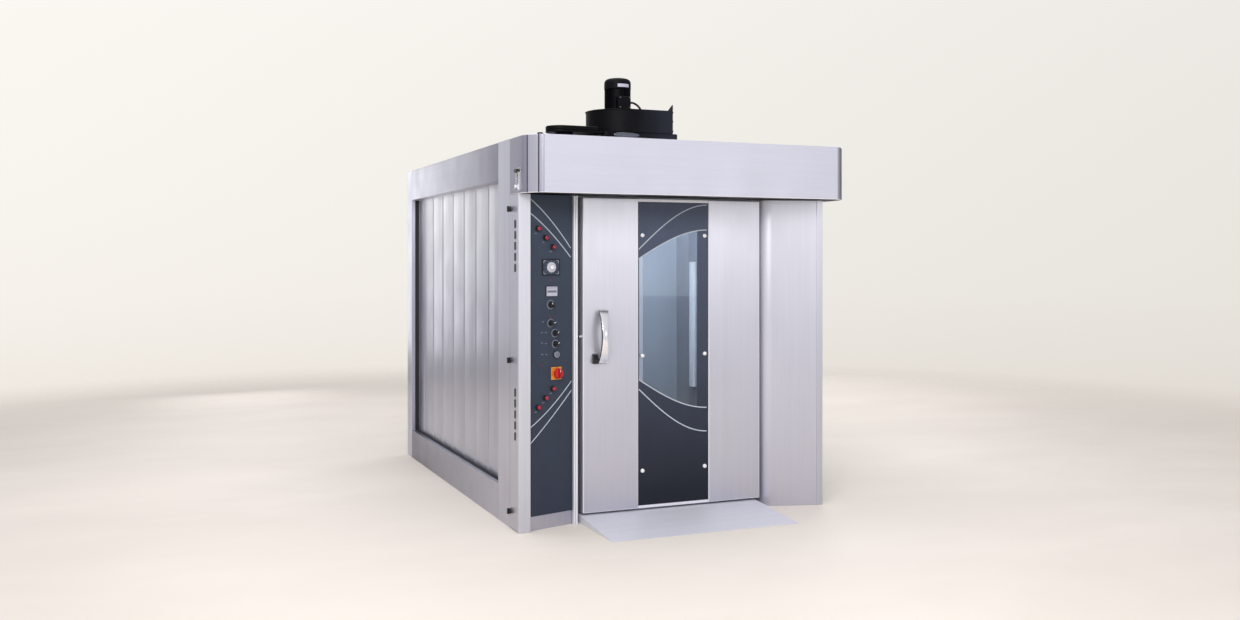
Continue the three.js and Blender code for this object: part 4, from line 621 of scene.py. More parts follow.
def hood_corner(across=96.0, start=-60.0, ahead=118.0):
    """The left corner's plan: four shallow curved faces, with a narrow groove after the first and third."""
    shares = [(0, 0), (0.19, 0.36), (0.46, 0.66), (0.69, 0.86), (1, 1)]
    points = [Vector((across * a, start - ahead * b)) for a, b in shares]
    out = []
    for i, (p, q) in enumerate(zip(points, points[1:])):
        along = (q - p).normalized()
        outward = Vector((along.y, -along.x))
        bow = 1.6 if i in (0, 3) else 1.0
        for t in (k / 6 for k in range(6)):
            out.append(tuple(p.lerp(q, t) + outward * (bow * math.sin(math.pi * t))))
        if i in (0, 2):
            near = q - along * 1.5
            deep = q + along * (GROOVE * 0.2) - outward * GROOVE
            out += [tuple(near), tuple(near - outward * GROOVE), tuple(deep + along * 4)]
    return out + [tuple(points[-1])]


def hood():
    """The hood's shell, open below, and near-black strips in its corner grooves that paint the shade in them.
    """
    corner = hood_corner()
    outline = [(0, 170), (0, 60)] + corner + [(HOOD_RIGHT - x, y) for x, y in corner][::-1]
    outline += [(HOOD_RIGHT, 60), (HOOD_RIGHT, 170)]
    lip, wall = 4.0, 14.0
    front = len(corner) + 1
    shape = Shape()

    def level(z, inset):
        """The outline at a height, moved in from the sides and the front."""
        return shape.ring([row(x + math.copysign(inset, HOOD_RIGHT / 2 - x), y + (inset if y < 100 else 0), z)
                           for x, y in outline])

    def look(k, i):
        """The material of a face: the lip edges in the bright copy (painted highlight), the front, the left
        flank and corner strips in the darkest copy (painted shade), the other sides in the darker copy
        (painted shade).
        """
        if k in (1, 2, 5):
            return 1
        if i < 9 or 26 <= i < front:
            return 3
        return 0 if i == front else 2

    rings = [level(z, inset) for z, inset in (
        (UNDER_HOOD, wall), (UNDER_HOOD, lip), (UNDER_HOOD + 1.2, 1.2), (UNDER_HOOD + lip, 0.0),
        (HEIGHT - lip, 0.0), (HEIGHT - 1.2, 1.2), (HEIGHT, lip))]
    shape.strip(rings, False, look).face(rings[-1])
    rings = [level(UNDER_HOOD, wall), level(HEIGHT - 6, wall)]
    shape.strip(rings, False).face(rings[-1])
    shape.piece("hood_fascia", [HOOD, STEEL_HIGHLIGHT, HOOD_SHADED, HOOD_DEEP_SHADE], slot="hood_steel",
                replaces=["hood_shell"], smooth=24)
    # near-black rods in the corner grooves: painted shade
    shape = Shape()
    for x, y in ((19.2, -102.3), (67.0, -160.7)):
        for place in (x, HOOD_RIGHT - x):
            shape.turned(rod(4.2, UNDER_HOOD + 2, HEIGHT - 2), row(place, y, 0), UP, 10)
    shape.piece("hood_grooves", HOOD_GROOVE_SHADE, slot="hood_steel")


hood()

# ---------------------------------------------------------------- front: post and control panel
sheet("front_post", [(0, 20), (0, 0), (73, 0), (73, 20)], 0, FRONT_TOP, STEEL_POST, radius=3.5, slot="steel",
      replaces=["front_left_post"])
path = rounded([(0, 14), (0, 0), (PANEL_LENGTH, 0), (PANEL_LENGTH, 14)], 2.0)
Shape().prism(folded(path, 3.0), 84.3, FRONT_TOP, place=lambda s, d, z: on_panel(s, -d, z)).piece(
    "panel_sheet", SLATE, slot="panel_paint", replaces=["control_panel"])


def curve_through(points, steps=24):
    """The quadratic through three points."""
    (x0, y0), (x1, y1), (x2, y2) = points
    slope = (y1 - y0) / (x1 - x0)
    bend = ((y2 - y1) / (x2 - x1) - slope) / (x2 - x0)
    return [(x, y0 + (x - x0) * (slope + (x - x1) * bend))
            for x in (x0 + (x2 - x0) * i / steps for i in range(steps + 1))]


PANEL_CURVES = {
    "upper_outer": [(3, 1942), (145, 1825), (298, 1655)],
    "upper_inner": [(3, 1858), (145, 1751), (298, 1600)],
    "lower_inner": [(3, 604), (173, 729), (304, 859)],
    "lower_outer": [(3, 509), (173, 667), (304, 804)],
}
for name, points in PANEL_CURVES.items():
    ribbon(f"panel_line_{name}", curve_through(points), 6.0, 0.5, on_panel, "root")

# signal lamps: a black collar with a red domed lens, and a plain tag below
COLLAR = [(0, -1), (16, -1), (16, 3), (15, 4.4), (14.4, 5), (14.2, 18.4), (13.4, 19.6), (12.6, 19.6),
          (12.6, 17), (0, 17)]
DOME = [(0, 17), (12.2, 17), (12.2, 22), (11.2, 25), (8.4, 27.4), (4.2, 28.8), (0, 29.2)]
LAMPS = [(126, 1767), (178, 1714), (230, 1660), (230, 823), (178, 772), (126, 721)]
for i, (x, z) in enumerate(LAMPS, 1):
    Shape().turned(COLLAR, spot(x, z), steps=28).turned(DOME, spot(x, z), steps=28, index=1).piece(
        f"signal_lamp_{i}", [BLACK_PLASTIC, RED_LENS], slot="black_plastic")
    Shape().prism(rect(-20, -4, -30, -25), 0.05, 0.5, place=facing(x, z)).piece(f"lamp_tag_{i}", MID_GREY)

# small red indicator lights
for i, (x, z) in enumerate([(217, 1246), (159, 963), (218, 1465)], 1):
    Shape().turned([(0, 0), (4.2, 0), (4.2, 1.2), (3.2, 2.8), (0, 3.6)], spot(x, z), steps=16).piece(
        f"indicator_{i}", RED_LENS)

# timer: a dark square frame with pale corner marks and dots
TIMER = (218.0, 1540.0)
CORNERS = [(sx, sz) for sx in (-1, 1) for sz in (-1, 1)]
Shape().tile(*TIMER, 128, 98, 0, 5.2).piece("timer_frame", BLACK_PLASTIC, bevel=1.6)
Shape().tile(*TIMER, 112, 84, 5.2, 6.0).piece("timer_face", SLATE, bevel=0.3)
shape = Shape()
for sx, sz in CORNERS:
    for wide, tall in ((16, 2.2), (2.2, 16)):
        mark = rect(sx * 54, sx * (54 - wide), sz * 40, sz * (40 - tall))
        shape.prism(mark, 5.9, 6.3, place=facing(*TIMER))
for k in range(12):
    shape.turned(rod(1.3, 5.9, 6.4), spot(*TIMER, 38, 2 * math.pi * k / 12), steps=8)
shape.piece("timer_marks", PALE_GREY)

# display: pale window in a thin frame with a darker band
DISPLAY_X, DISPLAY_Z = 224.0, 1398.0
Shape().tile(DISPLAY_X, DISPLAY_Z, 84, 62, 0, 4.6).piece("display_frame", BLACK_PLASTIC, bevel=1.4)
shape = Shape().tile(DISPLAY_X, DISPLAY_Z, 77, 56, 4.4, 6.0)
for rise, tall in ((-1, 13), (20, 2.5)):
    shape.tile(DISPLAY_X, DISPLAY_Z + rise, 66, tall, 5.9, 6.4, 1)
shape.piece("display_face", [PALE_GREY, MID_GREY])

# the knobs: piece, body and CAD node, x, z, radius, turn, width of the bar, radius of the ring of dots
KNOBS = (
    ("thermostat_dial", "thermostat_knob", 218, 1320, 20, 0.75, 0.26, 27),
    ("selector_fan", "fan_selector", 218, 1211, 18, -1.35, 0.3, 23),
    ("selector_light", "light_selector", 247, 1150, 18, -0.8, 0.3, 23),
    ("selector_rotation", "rotation_selector", 250, 1086, 18, -0.8, 0.3, 23),
)
# small pale dashes and dots beside the knobs stand for their scale marks
DASHES = ((165, 1219), (255, 1215), (158, 1157), (186, 1156), (158, 1096), (186, 1091), (160, 1028),
          (188, 1026))
shape = Shape()
for x, z in DASHES:
    shape.tile(x, z, 13, 5, 0.02, 0.5)
for _, _, x, z, _, _, _, reach in KNOBS:
    for k in range(7):
        shape.turned(rod(1.2, 0.02, 0.5), spot(x, z, reach, math.radians(-30 + 40 * k)), steps=8)
shape.piece("scale_marks", MID_GREY)

# main switch plate
SWITCH = (256.0, 912.0)
Shape().tile(*SWITCH, 74, 74, 0, 6).piece("switch_plate", ORANGE, bevel=2.0)
shape = Shape().turned([(34, 6), (34, 7.2), (31.5, 7.6), (31.5, 6)], spot(*SWITCH), steps=40)
for sx, sz in CORNERS:
    shape.turned([(0, 6), (2.6, 6), (2.6, 7.0), (0, 7.2)], facing(*SWITCH)(30 * sx, 30 * sz, 0), steps=12)
shape.piece("switch_ring", RED_PLASTIC)

# timer dial: pale ring, mid ring, bright centre, dark marks
shape = Shape()
rings = ([(0, 6.4), (31, 6.4), (31, 11), (29.5, 13.5), (26.5, 14.5), (20, 15)],
         [(20, 15), (19, 13.4), (14.5, 13.4), (13.5, 16)],
         [(13.5, 16), (13, 21), (11.5, 23), (7, 24), (0, 24.4)])
for index, profile in enumerate(rings):
    shape.turned(profile, spot(*TIMER), steps=56, index=index)
for k in range(24):
    long = 4.4 if k % 6 == 0 else 2.4
    mark = rect(28 - long, 28, -0.5, 0.5)
    shape.prism(mark, 14.0, 15.1, place=facing(*TIMER, 2 * math.pi * k / 24), index=3)
shape.piece("timer_dial", [DIAL_GREY, PALE_GREY, WHITE, BLACK_PLASTIC], body="timer_knob",
            replaces=["timer_knob"])

# each knob: a bezel, and a domed head with a grip bar and a pale pointer line
BEZEL = [(0, 0.02), (1.42, 0.02), (1.42, 1.0), (1.34, 1.8), (1.22, 1.8), (1.18, 1.0), (0, 1.0)]
KNOB_HEAD = [(1, 0.16), (0.9, 0.24), (0.86, 0.62), (0.78, 0.74), (0, 0.78)]
SEAT, RISE = 1.2, 28
for name, node, x, z, radius, turn, bar, _ in KNOBS:
    Shape().turned([(radius * r, h) for r, h in BEZEL], spot(x, z), steps=40).piece(
        f"{name}_bezel", MID_GREY, smooth=40)
    profile = [(0, SEAT + 0.4), (radius, SEAT + 0.4)] + [(radius * r, SEAT + RISE * h) for r, h in KNOB_HEAD]
    half = radius * bar
    low, high = -radius * 0.86, radius * 0.9
    grip = [(-half, low), (half, low), (half * 0.8, high), (-half * 0.8, high)]
    pointer = rect(-half * 0.35, half * 0.35, radius * 0.15, radius * 0.84)
    put = facing(x, z, turn)
    shape = Shape().turned(profile, spot(x, z), steps=48)
    shape.prism(grip, SEAT + RISE * 0.5, SEAT + RISE, place=put)
    shape.prism(pointer, SEAT + RISE * 0.98, SEAT + RISE + 0.35, place=put, index=1)
    shape.piece(name, [BLACK_PLASTIC, WHITE], body=node, replaces=[node], bevel=0.5)

# main switch: a drum with a grip and a pointer line
drum = [(0, 6.4), (20, 6.4), (20, 14), (29, 16), (29.5, 33), (28, 36), (24, 37), (0, 37)]
shape = Shape().turned(drum, spot(*SWITCH), steps=48)
shape.prism([(-7.5, -26), (7.5, -26), (6, 26), (-6, 26)], 35, 46, place=facing(*SWITCH), index=1)
shape.prism(rect(-1.6, 1.6, 8, 23), 45.6, 46.4, place=facing(*SWITCH), index=2)
shape.piece("switch_grip", [RED_PLASTIC, RED_DARK, WHITE], body="main_switch", replaces=["main_switch"],
            bevel=0.9)

# push button in a ring
button = spot(256, 1023)
cap = [(0, 3.2), (19, 3.2), (19, 11), (17.6, 12.6), (15.2, 12.8), (14.4, 11.6)]
Shape().turned(cap, button).turned([(14.4, 11.6), (6.5, 12.2), (0, 12.4)], button, index=1).piece(
    "button_cap", [BUTTON_GREY, MID_GREY], body="steam_button", replaces=["steam_button"])
Shape().turned([(19.8, 0.1), (23, 0.1), (23, 3), (21.4, 5.6), (19.8, 6), (19.8, 0.1)], button).piece(
    "button_bezel", BLACK_PLASTIC)

# ---------------------------------------------------------------- front: jamb, right panel, door gaps
# jamb: two rounded ribs with a groove between them, in the bright steel copy as a painted highlight
x0 = PANEL_END_X + 0.3
outline = [(x0, 191), (x0, 96)] + circle(x0 + 6.5, 93, 6.5, 12, math.pi, math.pi)[1:]
outline += [(x0 + 13.2, 99), (x0 + 14.8, 99)] + circle(x0 + 21.5, 93, 6.5, 12, math.pi, math.pi)
Shape().prism(outline + [(x0 + 28, 191)], 0, FRONT_TOP).piece(
    "jamb_ribs", STEEL_HIGHLIGHT, slot="steel", replaces=["jamb_profile"])

# right front panel, rounded back toward the door
START_X, END_X, BEND = WIDTH - 44.0, DOOR_RIGHT + 16.0, 90.0
slope = math.atan2(69.0, START_X - DOOR_RIGHT - 120.0)
arc = circle(END_X + BEND, 80.0 + BEND, BEND, 28, math.pi, math.pi / 2 - slope)
post = rounded([arc[-1], (START_X, 5.0), (START_X, 0.0), (WIDTH, 0.0), (WIDTH, 20.0)], 3.0)
Shape().prism(folded([(END_X, 191)] + arc + post[1:]), 0, FRONT_TOP).piece(
    "right_panel", STEEL, slot="steel", replaces=["right_front_panel"])

# dark blocks in the gaps beside the door paint the shade in those gaps
Shape().block(DOOR_RIGHT + 2, END_X - 1, 176, 190, 8, UNDER_HOOD - 4).piece("door_gap_right", GAP_SHADE)
Shape().block(DOOR_LEFT - 38, DOOR_LEFT - 2, 180, 190, 8, UNDER_HOOD - 4).piece("door_gap_left", DARK_STEEL)

# ---------------------------------------------------------------- sides
SIDE_FRONT, SIDE_REAR = 413, 2798.5
RAIL_TOP, FASCIA_LOW = 215, 2065
RIBS, RIB_PITCH = 7, 300.0


def cladding_path(face=60.0, rib=63.2, front=412.3, rear=2799.7):
    """The cladding's plan from the rear to the front: flat, with a shallow rib in each pitch."""
    margin = (rear - front - RIBS * RIB_PITCH) / 2
    path = [(face, rear)]
    for i in reversed(range(RIBS)):
        y = front + margin + i * RIB_PITCH
        path += [(face, y + 282), (rib, y + 275), (rib, y + 264), (face, y + 130)]
    return path + [(face, front)]


# the fascia, rail and cladding carry painted shade along the depth and by height; the cladding also painted
# highlights on its ribs
for side, flip in (("left", False), ("right", True)):
    more = {"flip": flip, "slot": "steel_shade"}
    sheet(f"{side}_fascia", [(30, 2297.7), (0, 2297.7), (0, FASCIA_LOW), (80, FASCIA_LOW)], SIDE_FRONT,
          SIDE_REAR, STEEL_FASCIA, axis="y", replaces=[f"{side}_top_fascia"], **more)
    sheet(f"{side}_rail", [(80, RAIL_TOP), (0, RAIL_TOP), (0, 0)], SIDE_FRONT, SIDE_REAR, STEEL_RAIL,
          axis="y", replaces=[f"{side}_bottom_rail"], **more)
    sheet(f"{side}_ribs", cladding_path(), RAIL_TOP + 0.3, FASCIA_LOW - 0.3, STEEL_CLAD, radius=5.0,
          replaces=[f"{side}_cladding"], **more)
    # near-black strips on the rail's ledge and in the rear recess: painted shade in the slot and the recess
    shape = Shape()
    for x0, x1, *rest in ((32.0, 58.0, 420, 2790, 215.4, 218.0), (26.0, 58.0, 2796.5, 2799.4, 218.0, 2063)):
        shape.block(*((WIDTH - x1, WIDTH - x0) if flip else (x0, x1)), *rest)
    shape.piece(f"{side}_recess_shade", GAP_SHADE, bevel=0.8)

# front cover behind the service cover, stepped back above for the hood's side
shape = Shape()
for front, low, high in ((170, 0, UNDER_HOOD - 0.6), (171.5, UNDER_HOOD - 0.6, HEIGHT)):
    shape.prism(folded(rounded([(60, 411), (0, 411), (0, front)], 4.0)), low, high)
# the cover is in the darker steel copy: painted shade
shape.piece("left_cover", STEEL_SIDE_SHADED, slot="steel_shade", replaces=["left_front_cover"])

# service cover in the darker steel copy (painted shade), with round-ended vents; their liners and what backs
# them are near-black, painted shade inside the vents
COVER_LOW, COVER_HIGH = 4.5, UNDER_HOOD - 1.5
LOCK_Y, LOCK_HEIGHTS = 150.0, (103.0, 992.0, 1884.0)
VENT_Y, VENT_WIDE, VENT_TALL, VENT_PITCH, VENT_COUNT = 67.0, 14.0, 44.0, 64.0, 5
VENT_STARTS = (1537.0, 554.0)
VENTS = [start + i * VENT_PITCH for start in VENT_STARTS for i in range(VENT_COUNT)]
COVER = {"body": "service_cover", "slot": "steel_shade"}
r = VENT_WIDE / 2
holes = [circle(VENT_Y, z + VENT_TALL / 2 - r, r, 6, 0.0, math.pi)
         + circle(VENT_Y, z - VENT_TALL / 2 + r, r, 6, math.pi, math.pi) for z in VENTS]
holes += [circle(LOCK_Y, z, 7.6, 20) for z in LOCK_HEIGHTS]
filled("service_door", rect(22.0, 166.0, COVER_LOW, COVER_HIGH), holes, 0.0, SHEET, "x", STEEL_SIDE_SHADED,
       replaces=["service_cover"], **COVER)
shape = Shape()
for y0, y1 in ((20.6, 22.4), (165.6, 167.6)):
    shape.block(0.6, 12, y0, y1, COVER_LOW, COVER_HIGH)
shape.piece("service_door_folds", STEEL_SIDE_SHADED, **COVER)
shape = Shape()
for start in VENT_STARTS:
    shape.block(6.0, 8.0, 50, 84, start - 40, start + (VENT_COUNT - 1) * VENT_PITCH + 40)
shape.piece("vent_backing", GAP_SHADE, body="service_cover")
shape = Shape()
for z in VENTS:
    for y0, y1 in ((57.5, 61.0), (73.0, 76.5)):
        shape.block(-2.4, 1.4, y0, y1, z - 21.0, z + 21.0)
    for z0, z1 in ((z - 23.5, z - 20.0), (z + 20.0, z + 23.5)):
        shape.block(-2.4, 1.4, 58.5, 75.5, z0, z1)
    shape.block(-1.2, 1.0, 60.5, 73.5, z - 20.5, z + 20.5)
shape.piece("vent_liners", GAP_SHADE, body="service_cover")
shape = Shape()
for z in LOCK_HEIGHTS:
    shape.turned([(0, 0), (4.5, 0), (4.5, 1.0), (3.6, 1.8), (0, 2.0)], row(0, 118, z), LEFT, 16)
shape.piece("lock_marks", BLACK_PLASTIC, body="service_cover")

# the three quarter-turn locks: a round head with a finger bar
for i, z in enumerate(LOCK_HEIGHTS, 1):
    head = [(0, 0.2), (16.5, 0.2), (16.5, 5), (14.5, 8.5), (12, 9.5), (0, 9.5)]
    shape = Shape().turned(head, row(0, LOCK_Y, z), LEFT)
    shape.block(-24.0, -9.0, LOCK_Y - 6.0, LOCK_Y + 6.0, z - 17.0, z + 17.0)
    shape.piece(f"lock_grip_{i}", BLACK_PLASTIC, body=f"lock_{i}", slot="black_plastic",
                replaces=[f"cover_lock_{i}"], bevel=2.2, segments=3)

# toggle latch on the hood's side: base plate with ears and screws, and the lever with two arms and a tip
LATCH_Y, LATCH_Z = -5.0, 2050.0


def latch_block(shape, x0, x1, y0, y1, z0, z1):
    return shape.block(x0, x1, LATCH_Y + y0, LATCH_Y + y1, LATCH_Z + z0, LATCH_Z + z1)


shape = latch_block(Shape(), -3.6, -0.4, -31, 31, -66, 66)
for y in (-29, 25):
    latch_block(shape, -20, -3.4, y, y + 4, -60, -32)
shape.piece("latch_plate", CHROME, slot="chrome", replaces=["latch_base"], bevel=1.2)
shape = Shape()
for y in (-20, 20):
    for z in (-56, 56):
        shape.turned([(0, 3.6), (5, 3.6), (4.4, 5.6), (0, 6.4)], row(0, LATCH_Y + y, LATCH_Z + z), LEFT, 16)
latch_block(shape, -4.6, -3.6, -14, 14, -44, 50).piece("latch_screws", BLACK_PLASTIC, slot="chrome")
shape = Shape()
for y in (-26, 17):
    outline = [(-12, LATCH_Z - 52), (-6, LATCH_Z - 52), (-5, LATCH_Z + 40), (-11, LATCH_Z + 44)]
    shape.prism(outline, LATCH_Y + y, LATCH_Y + y + 9, "y")
latch_block(shape, -11, -6, -18, 18, -46, -36)
shape.turned(rod(5, -25, 25), row(-14, LATCH_Y, LATCH_Z - 46), BACK, 20)
shape.piece("latch_arms", CHROME, body="hood_latch", slot="chrome", replaces=["latch_lever"], bevel=1.4)
latch_block(Shape(), -24.5, -9, -25, 25, 38, 58).piece(
    "latch_tip", BLACK_PLASTIC, body="hood_latch", slot="chrome", bevel=2.0)

# ---------------------------------------------------------------- rear and roof
LOUVRE_LEFT, LOUVRE_RIGHT = 770, 1290
LOUVRES = [360 + i * 44 for i in range(8)]
SEAMS = (686.0, 1372.0)
RIVETS = (24.0, SEAMS[0] - 22, SEAMS[0] + 24, SEAMS[1] - 22, SEAMS[1] + 24, WIDTH - 24.0)
ROOF_JOINTS = (820.0, 1530.0, 2240.0)
# the rear's returns, sheet and louvre blades are in the darker steel copy: painted shade
sides = folded(rounded([(0, 2958), (0, 2800), (60, 2800)], 4.0))
Shape().prism(sides, 0, HEIGHT).prism([(WIDTH - a, b) for a, b in sides], 0, HEIGHT).piece(
    "rear_returns", STEEL_SIDE_SHADED, slot="steel_shade", replaces=["rear_panel"])
holes = [rect(LOUVRE_LEFT, LOUVRE_RIGHT, z, z + 14) for z in LOUVRES]
holes += [rect(x, x + 2.5, 720, HEIGHT - 20) for x in SEAMS]
filled("rear_sheet", rect(2.2, WIDTH - 2.2, 0, HEIGHT), holes, 2955.4, 2957.4, "y", STEEL_SIDE_SHADED,
       slot="steel_shade", replaces=["rear_panel"])
# near-black strips behind the seams: painted shade
shape = Shape()
for x in SEAMS:
    shape.block(x - 6, x + 8, 2951, 2953, 715, HEIGHT - 10)
shape.piece("rear_seam_backing", GAP_SHADE)
shape = Shape()
for x in RIVETS:
    for i in range(7):
        shape.turned([(0, 0), (8, 0), (7, 1.6), (3, 2.3), (0, 2.4)], row(x, 2957.2, 120 + i * 343), BACK, 14)
shape.piece("rear_rivets", CHROME_DARK)
# joint strips across the roof, with rivets
shape = Shape()
for y in ROOF_JOINTS:
    low, high = HEIGHT + 0.2, HEIGHT + 3.2
    shape.prism([(y - 18, low), (y + 18, low), (y + 15, high), (y - 15, high)], 24, WIDTH - 24, "x")
shape.piece("roof_joints", STEEL_FLAT, slot="steel_shade")
shape = Shape()
for y in ROOF_JOINTS:
    for i in range(9):
        shape.turned([(0, 0), (6, 0), (5, 1.4), (0, 2.0)], row(70 + i * 240, y, HEIGHT + 3.2), UP, 12)
shape.piece("roof_rivets", CHROME_DARK)
shape = Shape()
for z in LOUVRES:
    blade = [(2958, z + 15), (2956, z + 15), (2948, z + 2), (2949.5, z + 1)]
    shape.prism(blade, LOUVRE_LEFT, LOUVRE_RIGHT, "x")
shape.piece("rear_louvre_blades", STEEL_SIDE_SHADED, slot="steel_shade")
# a near-black plate behind the louvres: painted shade
Shape().block(LOUVRE_LEFT - 24, LOUVRE_RIGHT + 24, 2930, 2932, 336, 706).piece(
    "rear_louvre_backing", GAP_SHADE)

# ---------------------------------------------------------------- door
WINDOW_LEFT, WINDOW_RIGHT = GLASS_LEFT + 36.0, GLASS_RIGHT - 36.0
# heights at the glass's left and right ends of the window's bowed edges and of the lines outside them
WINDOW_LOW, WINDOW_HIGH = (850, 655), (1590, 1773)
GLASS_LINES = {
    "upper_inner": WINDOW_HIGH, "upper_outer": (1646, 1930),
    "lower_inner": WINDOW_LOW, "lower_outer": (792, 506),
}
ON_DOOR = {"body": "door", "slot": "steel"}


def bow(ends, x):
    """The height at x of a line that leaves its left end steeply and levels off at its right end."""
    share = max(0.0, min(1.0, (x - GLASS_LEFT) / (GLASS_RIGHT - GLASS_LEFT)))
    return ends[0] + (ends[1] - ends[0]) * math.sin(share * math.pi / 2)


def bow_line(ends, x0, x1, rise=0.0, steps=28):
    return [(x, bow(ends, x) + rise) for x in (x0 + (x1 - x0) * i / steps for i in range(steps + 1))]


def window(x0, x1, grow=0.0):
    return bow_line(WINDOW_LOW, x0, x1, -grow) + bow_line(WINDOW_HIGH, x0, x1, grow)[::-1]


filled("door_core", rect(DOOR_LEFT, DOOR_RIGHT, DOOR_LOW, DOOR_HIGH), [window(WINDOW_LEFT, WINDOW_RIGHT, 4)],
       DOOR_FACE + 17.0, DOOR_BACK, "y", STEEL, replaces=["door_leaf"], **ON_DOOR)
# the cassettes' bevels take the bright steel copy: painted highlight on their edges
for side, x0, x1 in (("left", DOOR_LEFT, GLASS_LEFT - 0.5), ("right", GLASS_RIGHT + 0.5, DOOR_RIGHT)):
    Shape().block(x0, x1, DOOR_FACE, DOOR_FACE + 16.8, DOOR_LOW, DOOR_HIGH).piece(
        f"door_cassette_{side}", [STEEL, STEEL_HIGHLIGHT], replaces=["door_leaf"], bevel=5.0, segments=4,
        edge_index=1, smooth=50, **ON_DOOR)
# rails above and below the glass in the bright steel copy: painted highlight
shape = Shape()
for z0, z1 in ((DOOR_LOW, GLASS_LOW - 0.5), (GLASS_HIGH + 0.5, DOOR_HIGH)):
    shape.block(GLASS_LEFT, GLASS_RIGHT, DOOR_FACE + 2, DOOR_FACE + 16.8, z0, z1)
shape.piece("door_glass_rails", STEEL_HIGHLIGHT, bevel=1.5, **ON_DOOR)

# outer pane, and the enamel on its front that leaves the window clear
pane = (GLASS_LEFT + 1.5, GLASS_RIGHT - 1.5)
Shape().block(*pane, GLASS_FRONT, GLASS_FRONT + 6, GLASS_LOW + 1, GLASS_HIGH - 1).piece(
    "outer_pane", PANE, body="door", slot="dark_glass", replaces=["door_outer_glass"], bevel=0.8)
filled("glass_enamel", rect(*pane, GLASS_LOW + 1, GLASS_HIGH - 1), [window(GLASS_LEFT + 5.0, 1209.0)],
       GLASS_FRONT - 0.6, GLASS_FRONT - 0.1, "y", ENAMEL, body="door", slot="dark_glass")
for name, ends in GLASS_LINES.items():
    ribbon(f"glass_line_{name}", bow_line(ends, GLASS_LEFT + 3, 1275), 6.5, 0.45, on_glass, "door")

# studs that hold the glass
stud = [(0, 0.4), (13, 0.4), (13, 4.4), (12.2, 7.2), (10, 9.4), (6, 10.8), (0, 11.4)]
shape = Shape()
for x in (GLASS_LEFT + 27.0, GLASS_RIGHT - 27.0):
    for z in (287.0, 995.0, 1736.0):
        shape.turned(stud, row(x, GLASS_FRONT - 0.4, z), FRONT, 28)
shape.piece("glass_studs", STUD, body="door", slot="chrome")

# bright strips behind the glass, at the window's left and right: painted highlight
shape = Shape()
for x in (WINDOW_LEFT - 2.0, WINDOW_RIGHT):
    shape.block(x, x + 2.0, DOOR_FACE + 17.2, DOOR_BACK - 6, bow(WINDOW_LOW, x) + 2, bow(WINDOW_HIGH, x) - 2)
shape.piece("window_reveal", STEEL_HIGHLIGHT, **ON_DOOR)

# ---------------------------------------------------------------- handle
HANDLE_LEFT, HANDLE_RIGHT, HANDLE_TALL, HANDLE_BOW = 535.0, 597.0, 318.0, 66.0
PIVOT_Y, PIVOT_Z = DOOR_FACE - 16.0, 970.0


